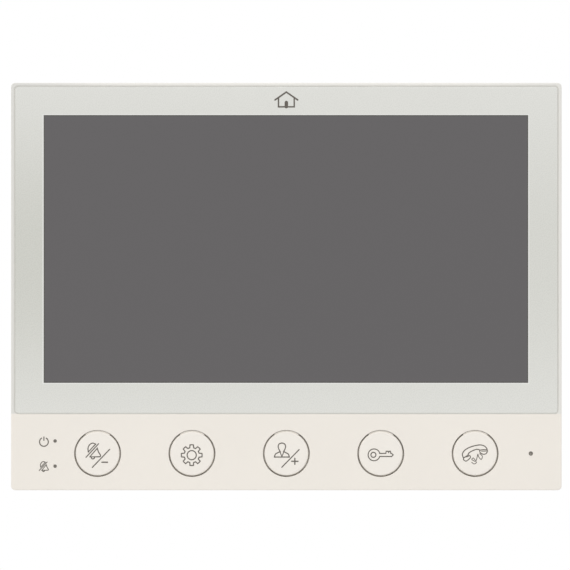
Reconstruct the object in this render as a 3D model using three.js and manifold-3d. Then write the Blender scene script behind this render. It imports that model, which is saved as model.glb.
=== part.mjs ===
// Seven-inch video intercom monitor for wall mounting, with five push buttons under the screen.
// Millimetres, +Z up. The front faces -Y. The origin is the centre of the wall bracket's back face,
// so the wall is the plane y = 0 and every piece lies at y <= 0.
import * as THREE from "three";
import { mergeVertices } from "three/addons/utils/BufferGeometryUtils.js";
import Module from "manifold-3d";

const wasm = await Module();
wasm.setup();

// ---------------------------------------------------------------- driving dimensions

// Casing
const BODY_WIDTH = 175;
const BODY_HEIGHT = 129.5;
const BODY_DEPTH = 21; // wall plane to front face
const CORNER_RADIUS = 1.7;
const WALL = 2; // moulded wall of both shells
const BEZEL_DEPTH = 10; // front face to parting line
const PARTING_GAP = 0.3;
const TONGUE_HEIGHT = 1.5; // lip of the rear cover inside the bezel
const TONGUE_WALL = 1.2;
const WALL_STANDOFF = 0.8; // rear plateau to wall plane
const REAR_INSET = 6.5; // how far the back narrows on each side
const REAR_STEPS = 4;

// Cover glass and its pocket
const RIM_WIDTH = 1; // plastic left showing beside and above the glass
const GROOVE = 0.25; // gap all round the glass
const GLASS_THICKNESS = 1.5;
const GLASS_RADIUS = 1.4;
const ADHESIVE_THICKNESS = 0.4;
const ADHESIVE_WIDTH = 4;
const LEDGE_THICKNESS = 1.6;
const CONTROL_STRIP = 24.2; // height of the plastic strip under the glass

// Display module
const LCD_VIEW_WIDTH = 154.1;
const LCD_VIEW_HEIGHT = 85.2;
const LCD_RISE = 0.4; // centre of the picture above the centre of the glass
const LCD_BORDER = 4; // glass of the cell outside the picture
const LCD_TOP_MARGIN = 3.3; // picture to the tray's top edge
const LCD_TRAY_WIDTH = 164.9;
const LCD_TRAY_HEIGHT = 100;
const LCD_THICKNESS = 4;
const LCD_TRAY_WALL = 1;
const LCD_CELL_THICKNESS = 1.4;
const CHASSIS_THICKNESS = 0.8;
const CHASSIS_WINDOW = { width: 24, height: 30, radius: 3, x: 62, z: -8 };

// Buttons, indicators and microphone
const BUTTON_DIAMETER = 14;
const BUTTON_GAP = 0.45; // ring of air round each cap
const BUTTON_PITCH = 30;
const BUTTON_RISE = 11.65; // centre line above the bottom edge
const BUTTON_TRAVEL = 0.5;
const PANEL_THICKNESS = 2.2;
const FLANGE_WIDTH = 1.4;
const FLANGE_THICKNESS = 1;
const COLLAR_WALL = 1;
const COLLAR_HEIGHT = 2.2;
const STEM_DIAMETER = 4;
const STEM_LENGTH = 2.2;
const KEY_TAB_WIDTH = 2;
const SWITCH_SIZE = 6;
const SWITCH_HEIGHT = 3.4;
const PLUNGER_DIAMETER = 3.4;
const PLUNGER_HEIGHT = 0.7; // part of the plunger above the switch body
const PLUNGER_ROOT = 0.5; // part of the plunger inside it
const INDICATOR_INSET = 14; // indicators from the left edge
const INDICATOR_SPACING = 8;
const INDICATOR_DIAMETER = 1.1;
const MICROPHONE_INSET = 9.8; // microphone hole from the right edge
const MICROPHONE_HOLE = 1.4;
const MICROPHONE_DIAMETER = 6;
const MICROPHONE_LENGTH = 4.8;
const BOOT_WALL = 1.3;

// Boards
const BOARD_THICKNESS = 1.6;
const KEY_BOARD_POST_DROP = 4.4; // its screws below the button centre line
const KEY_BOARD_EDGE = 4.2; // key board above the button centre line
const MAIN_BOARD_WIDTH = 106;
const MAIN_BOARD_HEIGHT = 70;
const MAIN_BOARD_X = -9;
const MAIN_BOARD_Z = 2;
const BOARD_SCREW_INSET = 5; // main board's screws and pins from its edges
const COMPONENT_ROOM = 5.4; // board face to the recess floor of the rear cover

const CHIPS = [
  { name: "processor_chip", width: 14, height: 14, thickness: 1.4, x: -8, z: 10 },
  { name: "memory_chip", width: 8, height: 6, thickness: 1.2, x: 10, z: 14 },
  { name: "video_decoder_chip", width: 10, height: 10, thickness: 1.4, x: -48, z: 14 },
  { name: "audio_amplifier_chip", width: 5, height: 6, thickness: 1.6, x: 34, z: 8 },
];
const INDUCTOR = { size: 7, height: 3, x: -48, z: -24 };
const CAPACITORS = [
  { x: -50, z: -12 },
  { x: -50, z: -2 },
];
const CAPACITOR_DIAMETER = 6.3;
const CAPACITOR_HEIGHT = 5;
const FLEX_SOCKET = { width: 27, height: 2, breadth: 3.6, rise: 2.5 }; // rise from the board's lower edge

// Terminals and their bay
const TERMINAL_WIDTH = 12.4;
const TERMINAL_HEIGHT = 5; // off the board
const TERMINAL_BREADTH = 5.8;
const TERMINAL_PITCH = 16;
const TERMINAL_Z = -23;
const TERMINAL_PINS = 4;
const BAY_MARGIN = 3; // free space round the row of terminals

// Speaker
const SPEAKER_DIAMETER = 32;
const SPEAKER_INSET = 24; // speaker centre from the right edge
const SPEAKER_Z = 4;
const GRILLE_SLOTS = 7;
const GRILLE_PITCH = 3.4;
const GRILLE_SLOT = 1.5;

// Ventilation slots
const VENTS_PER_GROUP = 10;
const VENT_PITCH = 4.2;
const VENT_SLOT = 1.6;
const VENT_LENGTH = 9;
const VENT_GROUP_X = 40;
const VENT_DROP = 18.5; // vent centre below the top edge

// Wall bracket
const BRACKET_WIDTH = 84;
const BRACKET_HEIGHT = 72;
const BRACKET_THICKNESS = 1.2;
const BRACKET_RADIUS = 4;
const BRACKET_CLEARANCE = 0.4; // bracket to recess floor
const RECESS_SIDE = 1.5; // free space beside the bracket
const LIFT = 6; // travel that unhooks the monitor
const HOOK_WIDTH = 8;
const HOOK_TIP = 5;
const HOOK_X = 30;
const HOOK_UPPER_Z = 24;
const HOOK_LOWER_Z = -4;
const WALL_SLOT_WIDTH = 4;
const WALL_SLOT_LENGTH = 9;
const WALL_SLOT_SPACING = 60;

// Fasteners
const SCREW_DIAMETER = 2.3;
const SCREW_HEAD = 4.4;
const SCREW_HEAD_HEIGHT = 1.5;
const SCREW_ENGAGEMENT = 4.5; // hole's depth in a boss
const BOARD_SCREW_DEPTH = 1.4; // screw in a chassis stand-off
const SCREW_SEAT = 2.5; // plastic under a cover screw's head
const SCREW_SIDE_INSET = 11.5;
const SCREW_TOP_INSET = 4.35;
const SCREW_LOW_RISE = 19.55;
const BOSS_RADIUS = 2.2;
const EAR_WIDTH = 5.4; // chassis ears under the cover screws

// Clearances
const SEAT_GAP = 0.1; // between pieces that rest on each other
const SLIP_GAP = 0.3; // round a piece that moves or passes through
const FINE = 24; // sides of a large round
const COARSE = 12; // sides of a small round

// ---------------------------------------------------------------- planes and places

const SCREW_HOLE_RADIUS = (SCREW_DIAMETER + SLIP_GAP) / 2;
const FRONT = -BODY_DEPTH;
const GLASS_BACK = FRONT + GLASS_THICKNESS;
const LEDGE_FRONT = GLASS_BACK + ADHESIVE_THICKNESS;
const LEDGE_BACK = LEDGE_FRONT + LEDGE_THICKNESS;
const PANEL_BACK = FRONT + PANEL_THICKNESS;
const LCD_FRONT = LEDGE_BACK + SEAT_GAP;
const LCD_BACK = LCD_FRONT + LCD_THICKNESS;
const CHASSIS_FRONT = LCD_BACK + SEAT_GAP;
const CHASSIS_BACK = CHASSIS_FRONT + CHASSIS_THICKNESS;
const PARTING = FRONT + BEZEL_DEPTH;
const PLATEAU = -WALL_STANDOFF;
const RECESS_FLOOR = -(BRACKET_THICKNESS + BRACKET_CLEARANCE);
const RECESS_INNER = RECESS_FLOOR - WALL;
const BOARD_BACK = RECESS_INNER - COMPONENT_ROOM;
const BOARD_FRONT = BOARD_BACK - BOARD_THICKNESS;

const TOP = BODY_HEIGHT / 2;
const BOTTOM = -TOP;
const SIDE = BODY_WIDTH / 2;
const POCKET = { x: SIDE - RIM_WIDTH, top: TOP - RIM_WIDTH, bottom: BOTTOM + CONTROL_STRIP };
const GLASS_Z = (POCKET.top + POCKET.bottom) / 2;
const LCD_Z = GLASS_Z + LCD_RISE;
const LCD_TRAY_TOP = LCD_Z + LCD_VIEW_HEIGHT / 2 + LCD_TOP_MARGIN;
const LCD_TRAY_Z = LCD_TRAY_TOP - LCD_TRAY_HEIGHT / 2;
const BUTTON_Z = BOTTOM + BUTTON_RISE;
const FLANGE_RADIUS = BUTTON_DIAMETER / 2 + FLANGE_WIDTH;
const COLLAR_RADIUS = FLANGE_RADIUS + SLIP_GAP;
const FLANGE_FRONT = PANEL_BACK + SEAT_GAP;
const STEM_END = FLANGE_FRONT + FLANGE_THICKNESS + STEM_LENGTH;
const PLUNGER_TIP = STEM_END + SEAT_GAP;
const SWITCH_FRONT = PLUNGER_TIP + PLUNGER_HEIGHT;
const KEY_BOARD_FRONT = SWITCH_FRONT + SWITCH_HEIGHT;
const KEY_BOARD_BACK = KEY_BOARD_FRONT + BOARD_THICKNESS;
const INDICATOR_X = -(SIDE - INDICATOR_INSET);
const MICROPHONE_X = SIDE - MICROPHONE_INSET;
const SPEAKER_X = SIDE - SPEAKER_INSET;
const SPEAKER_BACK = PLATEAU - WALL;
const BAY = {
  x: (3 * TERMINAL_PITCH + TERMINAL_WIDTH) / 2 + BAY_MARGIN,
  z: TERMINAL_BREADTH / 2 + BAY_MARGIN,
};
const KEY_BOARD_SCREWS = [-1, 1].map((side) => [side * 1.5 * BUTTON_PITCH, BUTTON_Z - KEY_BOARD_POST_DROP]);
const COVER_SCREWS = [
  [-(SIDE - SCREW_SIDE_INSET), TOP - SCREW_TOP_INSET],
  [SIDE - SCREW_SIDE_INSET, TOP - SCREW_TOP_INSET],
  [-(SIDE - SCREW_SIDE_INSET), BOTTOM + SCREW_LOW_RISE],
  [SIDE - SCREW_SIDE_INSET, BOTTOM + SCREW_LOW_RISE],
];
const BOARD_LOW = MAIN_BOARD_Z - MAIN_BOARD_HEIGHT / 2;
const BOARD_SIDE = MAIN_BOARD_WIDTH / 2 - BOARD_SCREW_INSET;
const BOARD_END = MAIN_BOARD_HEIGHT / 2 - BOARD_SCREW_INSET;
const boardCorners = (rise) =>
  [-1, 1].map((side) => [MAIN_BOARD_X + side * BOARD_SIDE, MAIN_BOARD_Z + rise]);
const MAIN_BOARD_SCREWS = boardCorners(BOARD_END);
const MAIN_BOARD_PINS = boardCorners(-BOARD_END);
const CELL = {
  width: LCD_VIEW_WIDTH + LCD_BORDER,
  height: LCD_VIEW_HEIGHT + 2 * (LCD_TOP_MARGIN - LCD_TRAY_WALL),
};
const HOOKS = [
  [-HOOK_X, HOOK_UPPER_Z],
  [HOOK_X, HOOK_UPPER_Z],
  [-HOOK_X, HOOK_LOWER_Z],
  [HOOK_X, HOOK_LOWER_Z],
];
const BUTTONS = ["mute", "menu", "visitor", "unlock", "talk"].map((name, i) => ({
  name,
  x: (i - 2) * BUTTON_PITCH,
}));

// ---------------------------------------------------------------- materials

const finish = (color, roughness, metalness = 0) =>
  new THREE.MeshStandardMaterial({ color, roughness, metalness });
const FINISH = {
  casing: finish(0xebe4dc, 0.5),
  glass: finish(0xdcdcd7, 0.05),
  tape: finish(0xb9b9b4, 0.8),
  lcd: finish(0x686667, 0.15),
  steel: finish(0xb4b7ba, 0.4, 0.9),
  board: finish(0x1f5a3a, 0.5),
  chip: finish(0x1b1b1d, 0.45),
  terminal: finish(0xf1efe6, 0.45),
  flex: finish(0xc07a2a, 0.4),
  rubber: finish(0x2a2a2c, 0.8),
  paper: finish(0x202022, 0.9),
  screw: finish(0x8d9094, 0.35, 0.9),
  lens: finish(0x6b6760, 0.2),
  switch: finish(0x26262a, 0.5),
  plunger: finish(0xe4e2dc, 0.5),
};

// ---------------------------------------------------------------- shape helpers

// A manifold-3d solid from a closed three.js geometry.
function solidOf(geometry) {
  const bare = geometry.index ? geometry.toNonIndexed() : geometry.clone();
  for (const name of ["normal", "uv"]) bare.deleteAttribute(name);
  const merged = mergeVertices(bare, 1e-4);
  return new wasm.Manifold(
    new wasm.Mesh({
      numProp: 3,
      vertProperties: merged.attributes.position.array,
      triVerts: new Uint32Array(merged.index.array),
    }),
  );
}

// A three.js geometry from a manifold-3d solid.
function geometryOf(solid) {
  const { numVert, numProp, vertProperties, triVerts } = solid.getMesh();
  const places = new Float32Array(numVert * 3);
  for (let i = 0; i < numVert; i++)
    places.set(vertProperties.subarray(i * numProp, i * numProp + 3), i * 3);
  const made = new THREE.BufferGeometry();
  made.setAttribute("position", new THREE.BufferAttribute(places, 3));
  made.setIndex(new THREE.BufferAttribute(new Uint32Array(triVerts), 1));
  made.computeVertexNormals();
  return made;
}

const join = (base, ...others) =>
  geometryOf(others.reduce((solid, other) => solid.add(solidOf(other)), solidOf(base)));

const cut = (base, ...tools) =>
  geometryOf(tools.reduce((solid, tool) => solid.subtract(solidOf(tool)), solidOf(base)));

// A box between two x, two y and two z planes.
function block([x0, x1], [y0, y1], [z0, z1]) {
  return new THREE.BoxGeometry(x1 - x0, y1 - y0, z1 - z0).translate(
    (x0 + x1) / 2,
    (y0 + y1) / 2,
    (z0 + z1) / 2,
  );
}

const spread = (centre, size) => [centre - size / 2, centre + size / 2];

// A round bar along Y.
function rod(radius, [y0, y1], x = 0, z = 0, sides = COARSE) {
  return new THREE.CylinderGeometry(radius, radius, y1 - y0, sides).translate(x, (y0 + y1) / 2, z);
}

// A rounded rectangle in the X-Z plane, as a Shape or as a hole's Path.
function roundedRectangle(width, height, radius, x = 0, z = 0, Kind = THREE.Shape) {
  const [a, b] = [width / 2 - radius, height / 2 - radius];
  const path = new Kind();
  path.absarc(x + a, z + b, radius, 0, Math.PI / 2, false);
  path.absarc(x - a, z + b, radius, Math.PI / 2, Math.PI, false);
  path.absarc(x - a, z - b, radius, Math.PI, 1.5 * Math.PI, false);
  path.absarc(x + a, z - b, radius, 1.5 * Math.PI, 2 * Math.PI, false);
  path.closePath();
  return path;
}

// A flat plate: an X-Z outline carried from y0 back to y1.
function plate(outline, [y0, y1], curveSegments = 2) {
  return new THREE.ExtrudeGeometry(outline, {
    depth: y1 - y0,
    bevelEnabled: false,
    curveSegments,
  })
    .rotateX(Math.PI / 2)
    .translate(0, y1, 0);
}

// A round piece turned about Y from [radius, y] points that run from the back to the front.
function turned(points, sides = FINE) {
  return new THREE.LatheGeometry(
    points.map(([r, y]) => new THREE.Vector2(r, y)),
    sides,
  );
}

// A closed skin through rounded rectangles of equal corner count, given from front to back.
function loft(sections, corner = 2) {
  const rings = sections.map(({ y, width, height, radius }) =>
    roundedRectangle(width, height, radius)
      .getPoints(corner)
      .slice(0, -1)
      .map((p) => [p.x, y, p.y]),
  );
  const count = rings[0].length;
  const places = rings.flat(2);
  const faces = [];
  for (let r = 0; r + 1 < rings.length; r++)
    for (let i = 0; i < count; i++) {
      const [a, b] = [r * count + i, r * count + ((i + 1) % count)];
      faces.push(a, a + count, b, b, a + count, b + count);
    }
  const last = (rings.length - 1) * count;
  for (let i = 1; i + 1 < count; i++) {
    faces.push(0, i, i + 1);
    faces.push(last, last + i + 1, last + i);
  }
  const made = new THREE.BufferGeometry();
  made.setAttribute("position", new THREE.Float32BufferAttribute(places, 3));
  made.setIndex(faces);
  return made;
}

// A flat strip that follows points in the Y-Z plane and spans [x0, x1].
function strip(points, thickness, [x0, x1], steps = 12) {
  const line = new THREE.SplineCurve(points.map(([y, z]) => new THREE.Vector2(y, z)));
  const offset = (t, side) => {
    const [p, d] = [line.getPoint(t), line.getTangent(t)];
    return new THREE.Vector2(p.x - side * d.y, p.y + side * d.x);
  };
  const ts = Array.from({ length: steps + 1 }, (_, i) => i / steps);
  const outline = new THREE.Shape([
    ...ts.map((t) => offset(t, -thickness / 2)),
    ...ts.reverse().map((t) => offset(t, thickness / 2)),
  ]);
  // The outline's (x, y) is the part's (y, z), and its depth runs along X.
  return new THREE.ExtrudeGeometry(outline, { depth: x1 - x0, bevelEnabled: false })
    .applyMatrix4(new THREE.Matrix4().set(0, 0, 1, x0, 1, 0, 0, 0, 0, 1, 0, 0, 0, 0, 0, 1));
}

function mesh(name, geometry, material, x = 0, y = 0, z = 0) {
  const made = new THREE.Mesh(geometry, material);
  made.name = name;
  made.position.set(x, y, z);
  return made;
}

function group(...children) {
  const made = new THREE.Group();
  made.add(...children);
  return made;
}

// ---------------------------------------------------------------- casing

// A place on the rear cover's curved back: t runs from 0 at the parting line to 1 at the plateau.
function rearSection(t, wall = 0) {
  const from = PARTING + PARTING_GAP;
  const turn = (t * Math.PI) / 2;
  const inset = REAR_INSET * (1 - Math.cos(turn)) + wall;
  return {
    y: from + (PLATEAU - wall - from) * Math.sin(turn),
    width: BODY_WIDTH - 2 * inset,
    height: BODY_HEIGHT - 2 * inset,
    radius: Math.max(CORNER_RADIUS + REAR_INSET * (1 - Math.cos(turn)) - wall / 2, 0.5),
  };
}

function frontBezel() {
  const outer = plate(roundedRectangle(BODY_WIDTH, BODY_HEIGHT, CORNER_RADIUS), [FRONT, PARTING]);
  const inside = plate(
    roundedRectangle(BODY_WIDTH - 2 * WALL, BODY_HEIGHT - 2 * WALL, 0.5),
    [PANEL_BACK, PARTING + 1],
  );
  const ledge = block(
    [-(SIDE - WALL / 2), SIDE - WALL / 2],
    [PANEL_BACK - SEAT_GAP, LEDGE_BACK],
    [POCKET.bottom - LEDGE_THICKNESS, TOP - WALL / 2],
  );
  const pocket = plate(
    roundedRectangle(2 * POCKET.x, POCKET.top - POCKET.bottom, GLASS_RADIUS, 0, GLASS_Z),
    [FRONT - 1, LEDGE_FRONT],
  );
  const viewPort = plate(
    roundedRectangle(LCD_VIEW_WIDTH + LCD_BORDER, LCD_VIEW_HEIGHT + LCD_BORDER, 0.5, 0, LCD_Z),
    [FRONT, LEDGE_BACK + 1],
  );
  const trayRoom = block(
    spread(0, LCD_TRAY_WIDTH + 2 * SLIP_GAP),
    [LEDGE_BACK, PARTING],
    [LCD_TRAY_TOP - LCD_TRAY_HEIGHT - SLIP_GAP, LCD_TRAY_TOP + SLIP_GAP],
  );
  const collarSpan = [PANEL_BACK - SEAT_GAP, PANEL_BACK + COLLAR_HEIGHT];
  const collars = BUTTONS.map(({ x }) => rod(COLLAR_RADIUS + COLLAR_WALL, collarSpan, x, BUTTON_Z, FINE));
  const flangeRooms = BUTTONS.map(({ x }) =>
    rod(COLLAR_RADIUS, [PANEL_BACK, PARTING + 1], x, BUTTON_Z, FINE),
  );
  const tabRooms = BUTTONS.map(({ x }) =>
    block(
      spread(x, KEY_TAB_WIDTH + 2 * SLIP_GAP),
      [PANEL_BACK, PANEL_BACK + COLLAR_HEIGHT + 1],
      [BUTTON_Z, BUTTON_Z + COLLAR_RADIUS + COLLAR_WALL + 1],
    ),
  );
  const buttonHoles = BUTTONS.map(({ x }) =>
    rod(BUTTON_DIAMETER / 2 + BUTTON_GAP, [FRONT - 1, PANEL_BACK + 1], x, BUTTON_Z, FINE),
  );
  const indicatorHoles = [1, -1].map((side) =>
    rod(
      INDICATOR_DIAMETER / 2,
      [FRONT - 1, PANEL_BACK + 1],
      INDICATOR_X,
      BUTTON_Z + (side * INDICATOR_SPACING) / 2,
    ),
  );
  const microphoneHole = rod(MICROPHONE_HOLE / 2, [FRONT - 1, PANEL_BACK + 1], MICROPHONE_X, BUTTON_Z);
  const screwBosses = COVER_SCREWS.map(([x, z]) =>
    rod(BOSS_RADIUS, [PANEL_BACK - SEAT_GAP, CHASSIS_FRONT - SEAT_GAP], x, z),
  );
  const screwHoles = COVER_SCREWS.map(([x, z]) =>
    rod(SCREW_HOLE_RADIUS, [CHASSIS_FRONT - SCREW_ENGAGEMENT, PARTING], x, z),
  );
  const posts = KEY_BOARD_SCREWS.map(([x, z]) =>
    rod(BOSS_RADIUS, [PANEL_BACK - SEAT_GAP, KEY_BOARD_FRONT - SEAT_GAP], x, z),
  );
  const postHoles = KEY_BOARD_SCREWS.map(([x, z]) =>
    rod(SCREW_HOLE_RADIUS, [KEY_BOARD_FRONT - SCREW_ENGAGEMENT, KEY_BOARD_FRONT], x, z),
  );
  const shell = cut(outer, inside);
  const ribbed = join(shell, ledge, ...collars, ...screwBosses, ...posts);
  return cut(
    ribbed,
    pocket,
    viewPort,
    trayRoom,
    ...flangeRooms,
    ...tabRooms,
    ...buttonHoles,
    ...indicatorHoles,
    microphoneHole,
    ...screwHoles,
    ...postHoles,
  );
}

function rearCover() {
  const steps = Array.from({ length: REAR_STEPS + 1 }, (_, i) => i / REAR_STEPS);
  const outer = loft(steps.map((t) => rearSection(t)));
  const inner = loft([
    { ...rearSection(0, WALL), y: PARTING },
    ...steps.slice(1).map((t) => rearSection(t, WALL)),
  ]);
  const tongueOutline = (inset, Kind) =>
    roundedRectangle(BODY_WIDTH - 2 * inset, BODY_HEIGHT - 2 * inset, 0.5, 0, 0, Kind);
  const tongueShape = tongueOutline(WALL + SLIP_GAP);
  tongueShape.holes.push(tongueOutline(WALL + SLIP_GAP + TONGUE_WALL, THREE.Path));
  const tongue = plate(tongueShape, [PARTING - TONGUE_HEIGHT, PARTING + PARTING_GAP + 2]);
  const recessTop = BRACKET_HEIGHT / 2 + RECESS_SIDE;
  const recessBottom = -BRACKET_HEIGHT / 2 - LIFT - RECESS_SIDE;
  const recessOutline = (grow) =>
    roundedRectangle(
      BRACKET_WIDTH + 2 * RECESS_SIDE + 2 * grow,
      recessTop - recessBottom + 2 * grow,
      BRACKET_RADIUS,
      0,
      (recessTop + recessBottom) / 2,
    );
  const recessPan = plate(recessOutline(WALL), [RECESS_INNER, PLATEAU - SEAT_GAP]);
  const recess = plate(recessOutline(0), [RECESS_FLOOR, 1]);
  const bay = plate(
    roundedRectangle(2 * BAY.x, 2 * BAY.z, 1, 0, TERMINAL_Z),
    [RECESS_INNER - 1, RECESS_FLOOR + 1],
  );
  const hookSlots = HOOKS.map(([x, z]) =>
    block(
      spread(x, HOOK_WIDTH + 2),
      [RECESS_INNER - 1, RECESS_FLOOR + 1],
      [z - BRACKET_THICKNESS - LIFT - SLIP_GAP, z + SLIP_GAP / 2],
    ),
  );
  const speakerCollar = rod(
    SPEAKER_DIAMETER / 2 + SLIP_GAP + TONGUE_WALL,
    [SPEAKER_BACK - 3.5, SPEAKER_BACK + WALL / 2],
    SPEAKER_X,
    SPEAKER_Z,
    FINE,
  );
  const speakerRoom = rod(
    SPEAKER_DIAMETER / 2 + SLIP_GAP,
    [SPEAKER_BACK - 4.5, SPEAKER_BACK],
    SPEAKER_X,
    SPEAKER_Z,
    FINE,
  );
  const grilleRadius = SPEAKER_DIAMETER / 2 - 4;
  const grille = Array.from({ length: GRILLE_SLOTS }, (_, i) => {
    const rise = (i - (GRILLE_SLOTS - 1) / 2) * GRILLE_PITCH;
    const half = Math.sqrt(grilleRadius ** 2 - rise ** 2);
    return block(
      spread(SPEAKER_X, 2 * half),
      [SPEAKER_BACK - 0.5, 1],
      spread(SPEAKER_Z + rise, GRILLE_SLOT),
    );
  });
  const vents = [-1, 1].flatMap((side) =>
    Array.from({ length: VENTS_PER_GROUP }, (_, i) =>
      block(
        spread(side * VENT_GROUP_X + (i - (VENTS_PER_GROUP - 1) / 2) * VENT_PITCH, VENT_SLOT),
        [SPEAKER_BACK - 1, 1],
        spread(TOP - VENT_DROP, VENT_LENGTH),
      ),
    ),
  );
  const seat = PARTING + SCREW_SEAT;
  const bosses = COVER_SCREWS.map(([x, z]) =>
    rod(SCREW_HEAD / 2 + 1.2, [CHASSIS_BACK + SEAT_GAP, PLATEAU - WALL / 2], x, z),
  );
  const counterbores = COVER_SCREWS.map(([x, z]) => rod(SCREW_HEAD / 2 + SLIP_GAP, [seat, 1], x, z));
  const screwHoles = COVER_SCREWS.map(([x, z]) =>
    rod(SCREW_HOLE_RADIUS, [CHASSIS_BACK - 1, seat + 1], x, z),
  );
  const earRooms = COVER_SCREWS.map(([x, z]) =>
    block(
      spread(x, EAR_WIDTH + 2 * SLIP_GAP),
      [CHASSIS_FRONT - SEAT_GAP, CHASSIS_BACK + SEAT_GAP],
      spread(z, EAR_WIDTH + 2 * SLIP_GAP),
    ),
  );
  const outside = cut(
    block([-SIDE - 20, SIDE + 20], [PARTING - TONGUE_HEIGHT - 1, 1], [BOTTOM - 20, TOP + 20]),
    loft([{ ...rearSection(0), y: PARTING - TONGUE_HEIGHT - 2 }, ...steps.map((t) => rearSection(t))]),
  );
  const bezelWall = roundedRectangle(BODY_WIDTH + 2, BODY_HEIGHT + 2, CORNER_RADIUS);
  bezelWall.holes.push(tongueOutline(WALL + SLIP_GAP, THREE.Path));
  const bezelRoom = plate(bezelWall, [PARTING - TONGUE_HEIGHT - 2, PARTING + PARTING_GAP]);
  const shell = cut(outer, inner);
  const ribbed = join(shell, tongue, recessPan, speakerCollar, ...bosses);
  return cut(
    ribbed,
    outside,
    bezelRoom,
    recess,
    bay,
    speakerRoom,
    ...hookSlots,
    ...grille,
    ...vents,
    ...counterbores,
    ...screwHoles,
    ...earRooms,
  );
}

// A self-tapping pan-head screw with a cross recess, its head's seat at y = 0 and its shank towards -Y.
function screw(shank) {
  const radius = SCREW_DIAMETER / 2;
  const body = turned(
    [
      [0, SCREW_HEAD_HEIGHT],
      [SCREW_HEAD * 0.3, SCREW_HEAD_HEIGHT],
      [SCREW_HEAD / 2, SCREW_HEAD_HEIGHT * 0.45],
      [SCREW_HEAD / 2, 0],
      [radius, 0],
      [radius, -shank + radius],
      [radius * 0.3, -shank],
      [0, -shank],
    ].reverse(),
    COARSE,
  );
  const bar = (width, breadth) =>
    block(spread(0, width), [SCREW_HEAD_HEIGHT * 0.35, SCREW_HEAD_HEIGHT + 1], spread(0, breadth));
  const arm = SCREW_HEAD * 0.55;
  return cut(body, bar(arm, 0.6), bar(0.6, arm));
}

// ---------------------------------------------------------------- display

function glassAdhesive() {
  const width = 2 * (POCKET.x - 2 * GROOVE);
  const height = POCKET.top - POCKET.bottom - 4 * GROOVE;
  const ring = roundedRectangle(width, height, 1, 0, GLASS_Z);
  ring.holes.push(
    roundedRectangle(
      width - 2 * ADHESIVE_WIDTH,
      height - 2 * ADHESIVE_WIDTH,
      1,
      0,
      GLASS_Z,
      THREE.Path,
    ),
  );
  return plate(ring, [GLASS_BACK + SEAT_GAP / 2, LEDGE_FRONT - SEAT_GAP / 2]);
}

const frontGlass = () =>
  plate(
    roundedRectangle(
      2 * (POCKET.x - GROOVE),
      POCKET.top - POCKET.bottom - 2 * GROOVE,
      GLASS_RADIUS - GROOVE / 2,
      0,
      GLASS_Z,
    ),
    [FRONT, GLASS_BACK],
    3,
  );

const lcdCell = () =>
  plate(roundedRectangle(CELL.width, CELL.height, 0.5, 0, LCD_Z), [
    LCD_FRONT + SEAT_GAP,
    LCD_FRONT + SEAT_GAP + LCD_CELL_THICKNESS,
  ]);

function lcdBacklight() {
  const tray = plate(roundedRectangle(LCD_TRAY_WIDTH, LCD_TRAY_HEIGHT, 1, 0, LCD_TRAY_Z), [
    LCD_FRONT,
    LCD_BACK,
  ]);
  const seat = plate(
    roundedRectangle(CELL.width + 2 * SLIP_GAP, CELL.height + 2 * SLIP_GAP, 0.5, 0, LCD_Z),
    [LCD_FRONT - 1, LCD_FRONT + LCD_CELL_THICKNESS + 3 * SEAT_GAP],
  );
  return cut(tray, seat);
}

function lcdChassis() {
  const bottom = LCD_TRAY_Z - LCD_TRAY_HEIGHT / 2;
  const sheet = plate(
    roundedRectangle(LCD_TRAY_WIDTH, LCD_TRAY_HEIGHT, 2, 0, LCD_TRAY_Z),
    [CHASSIS_FRONT, CHASSIS_BACK],
  );
  const { width, height, radius, x: windowX, z: windowZ } = CHASSIS_WINDOW;
  const window = plate(
    roundedRectangle(width, height, radius, windowX, windowZ),
    [CHASSIS_FRONT - 1, CHASSIS_BACK + 1],
  );
  const reach = { x: LCD_TRAY_WIDTH / 2 - 4, low: bottom + 4, high: LCD_TRAY_TOP - 4 };
  const ears = COVER_SCREWS.map(([x, z]) => {
    const rootX = THREE.MathUtils.clamp(x, -reach.x, reach.x);
    const rootZ = THREE.MathUtils.clamp(z, reach.low, reach.high);
    return block(
      [Math.min(x, rootX) - EAR_WIDTH / 2, Math.max(x, rootX) + EAR_WIDTH / 2],
      [CHASSIS_FRONT, CHASSIS_BACK],
      [Math.min(z, rootZ), Math.max(z, rootZ)],
    );
  });
  const earEnds = COVER_SCREWS.map(([x, z]) =>
    rod(BOSS_RADIUS - SLIP_GAP / 2, [CHASSIS_FRONT, CHASSIS_BACK], x, z),
  );
  const earHoles = COVER_SCREWS.map(([x, z]) =>
    rod(SCREW_HOLE_RADIUS, [CHASSIS_FRONT - 1, CHASSIS_BACK + 1], x, z),
  );
  const standoffs = [...MAIN_BOARD_SCREWS, ...MAIN_BOARD_PINS].map(([x, z]) =>
    rod(BOSS_RADIUS, [CHASSIS_BACK - SEAT_GAP, BOARD_FRONT - SEAT_GAP], x, z),
  );
  const pins = MAIN_BOARD_PINS.map(([x, z]) =>
    rod(SCREW_DIAMETER / 2, [BOARD_FRONT - 1, BOARD_BACK + 0.6], x, z, COARSE),
  );
  const threads = MAIN_BOARD_SCREWS.map(([x, z]) =>
    rod(SCREW_HOLE_RADIUS, [CHASSIS_FRONT - 1, BOARD_FRONT], x, z),
  );
  return cut(join(sheet, ...ears, ...earEnds, ...standoffs, ...pins), window, ...earHoles, ...threads);
}

// ---------------------------------------------------------------- buttons

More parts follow.
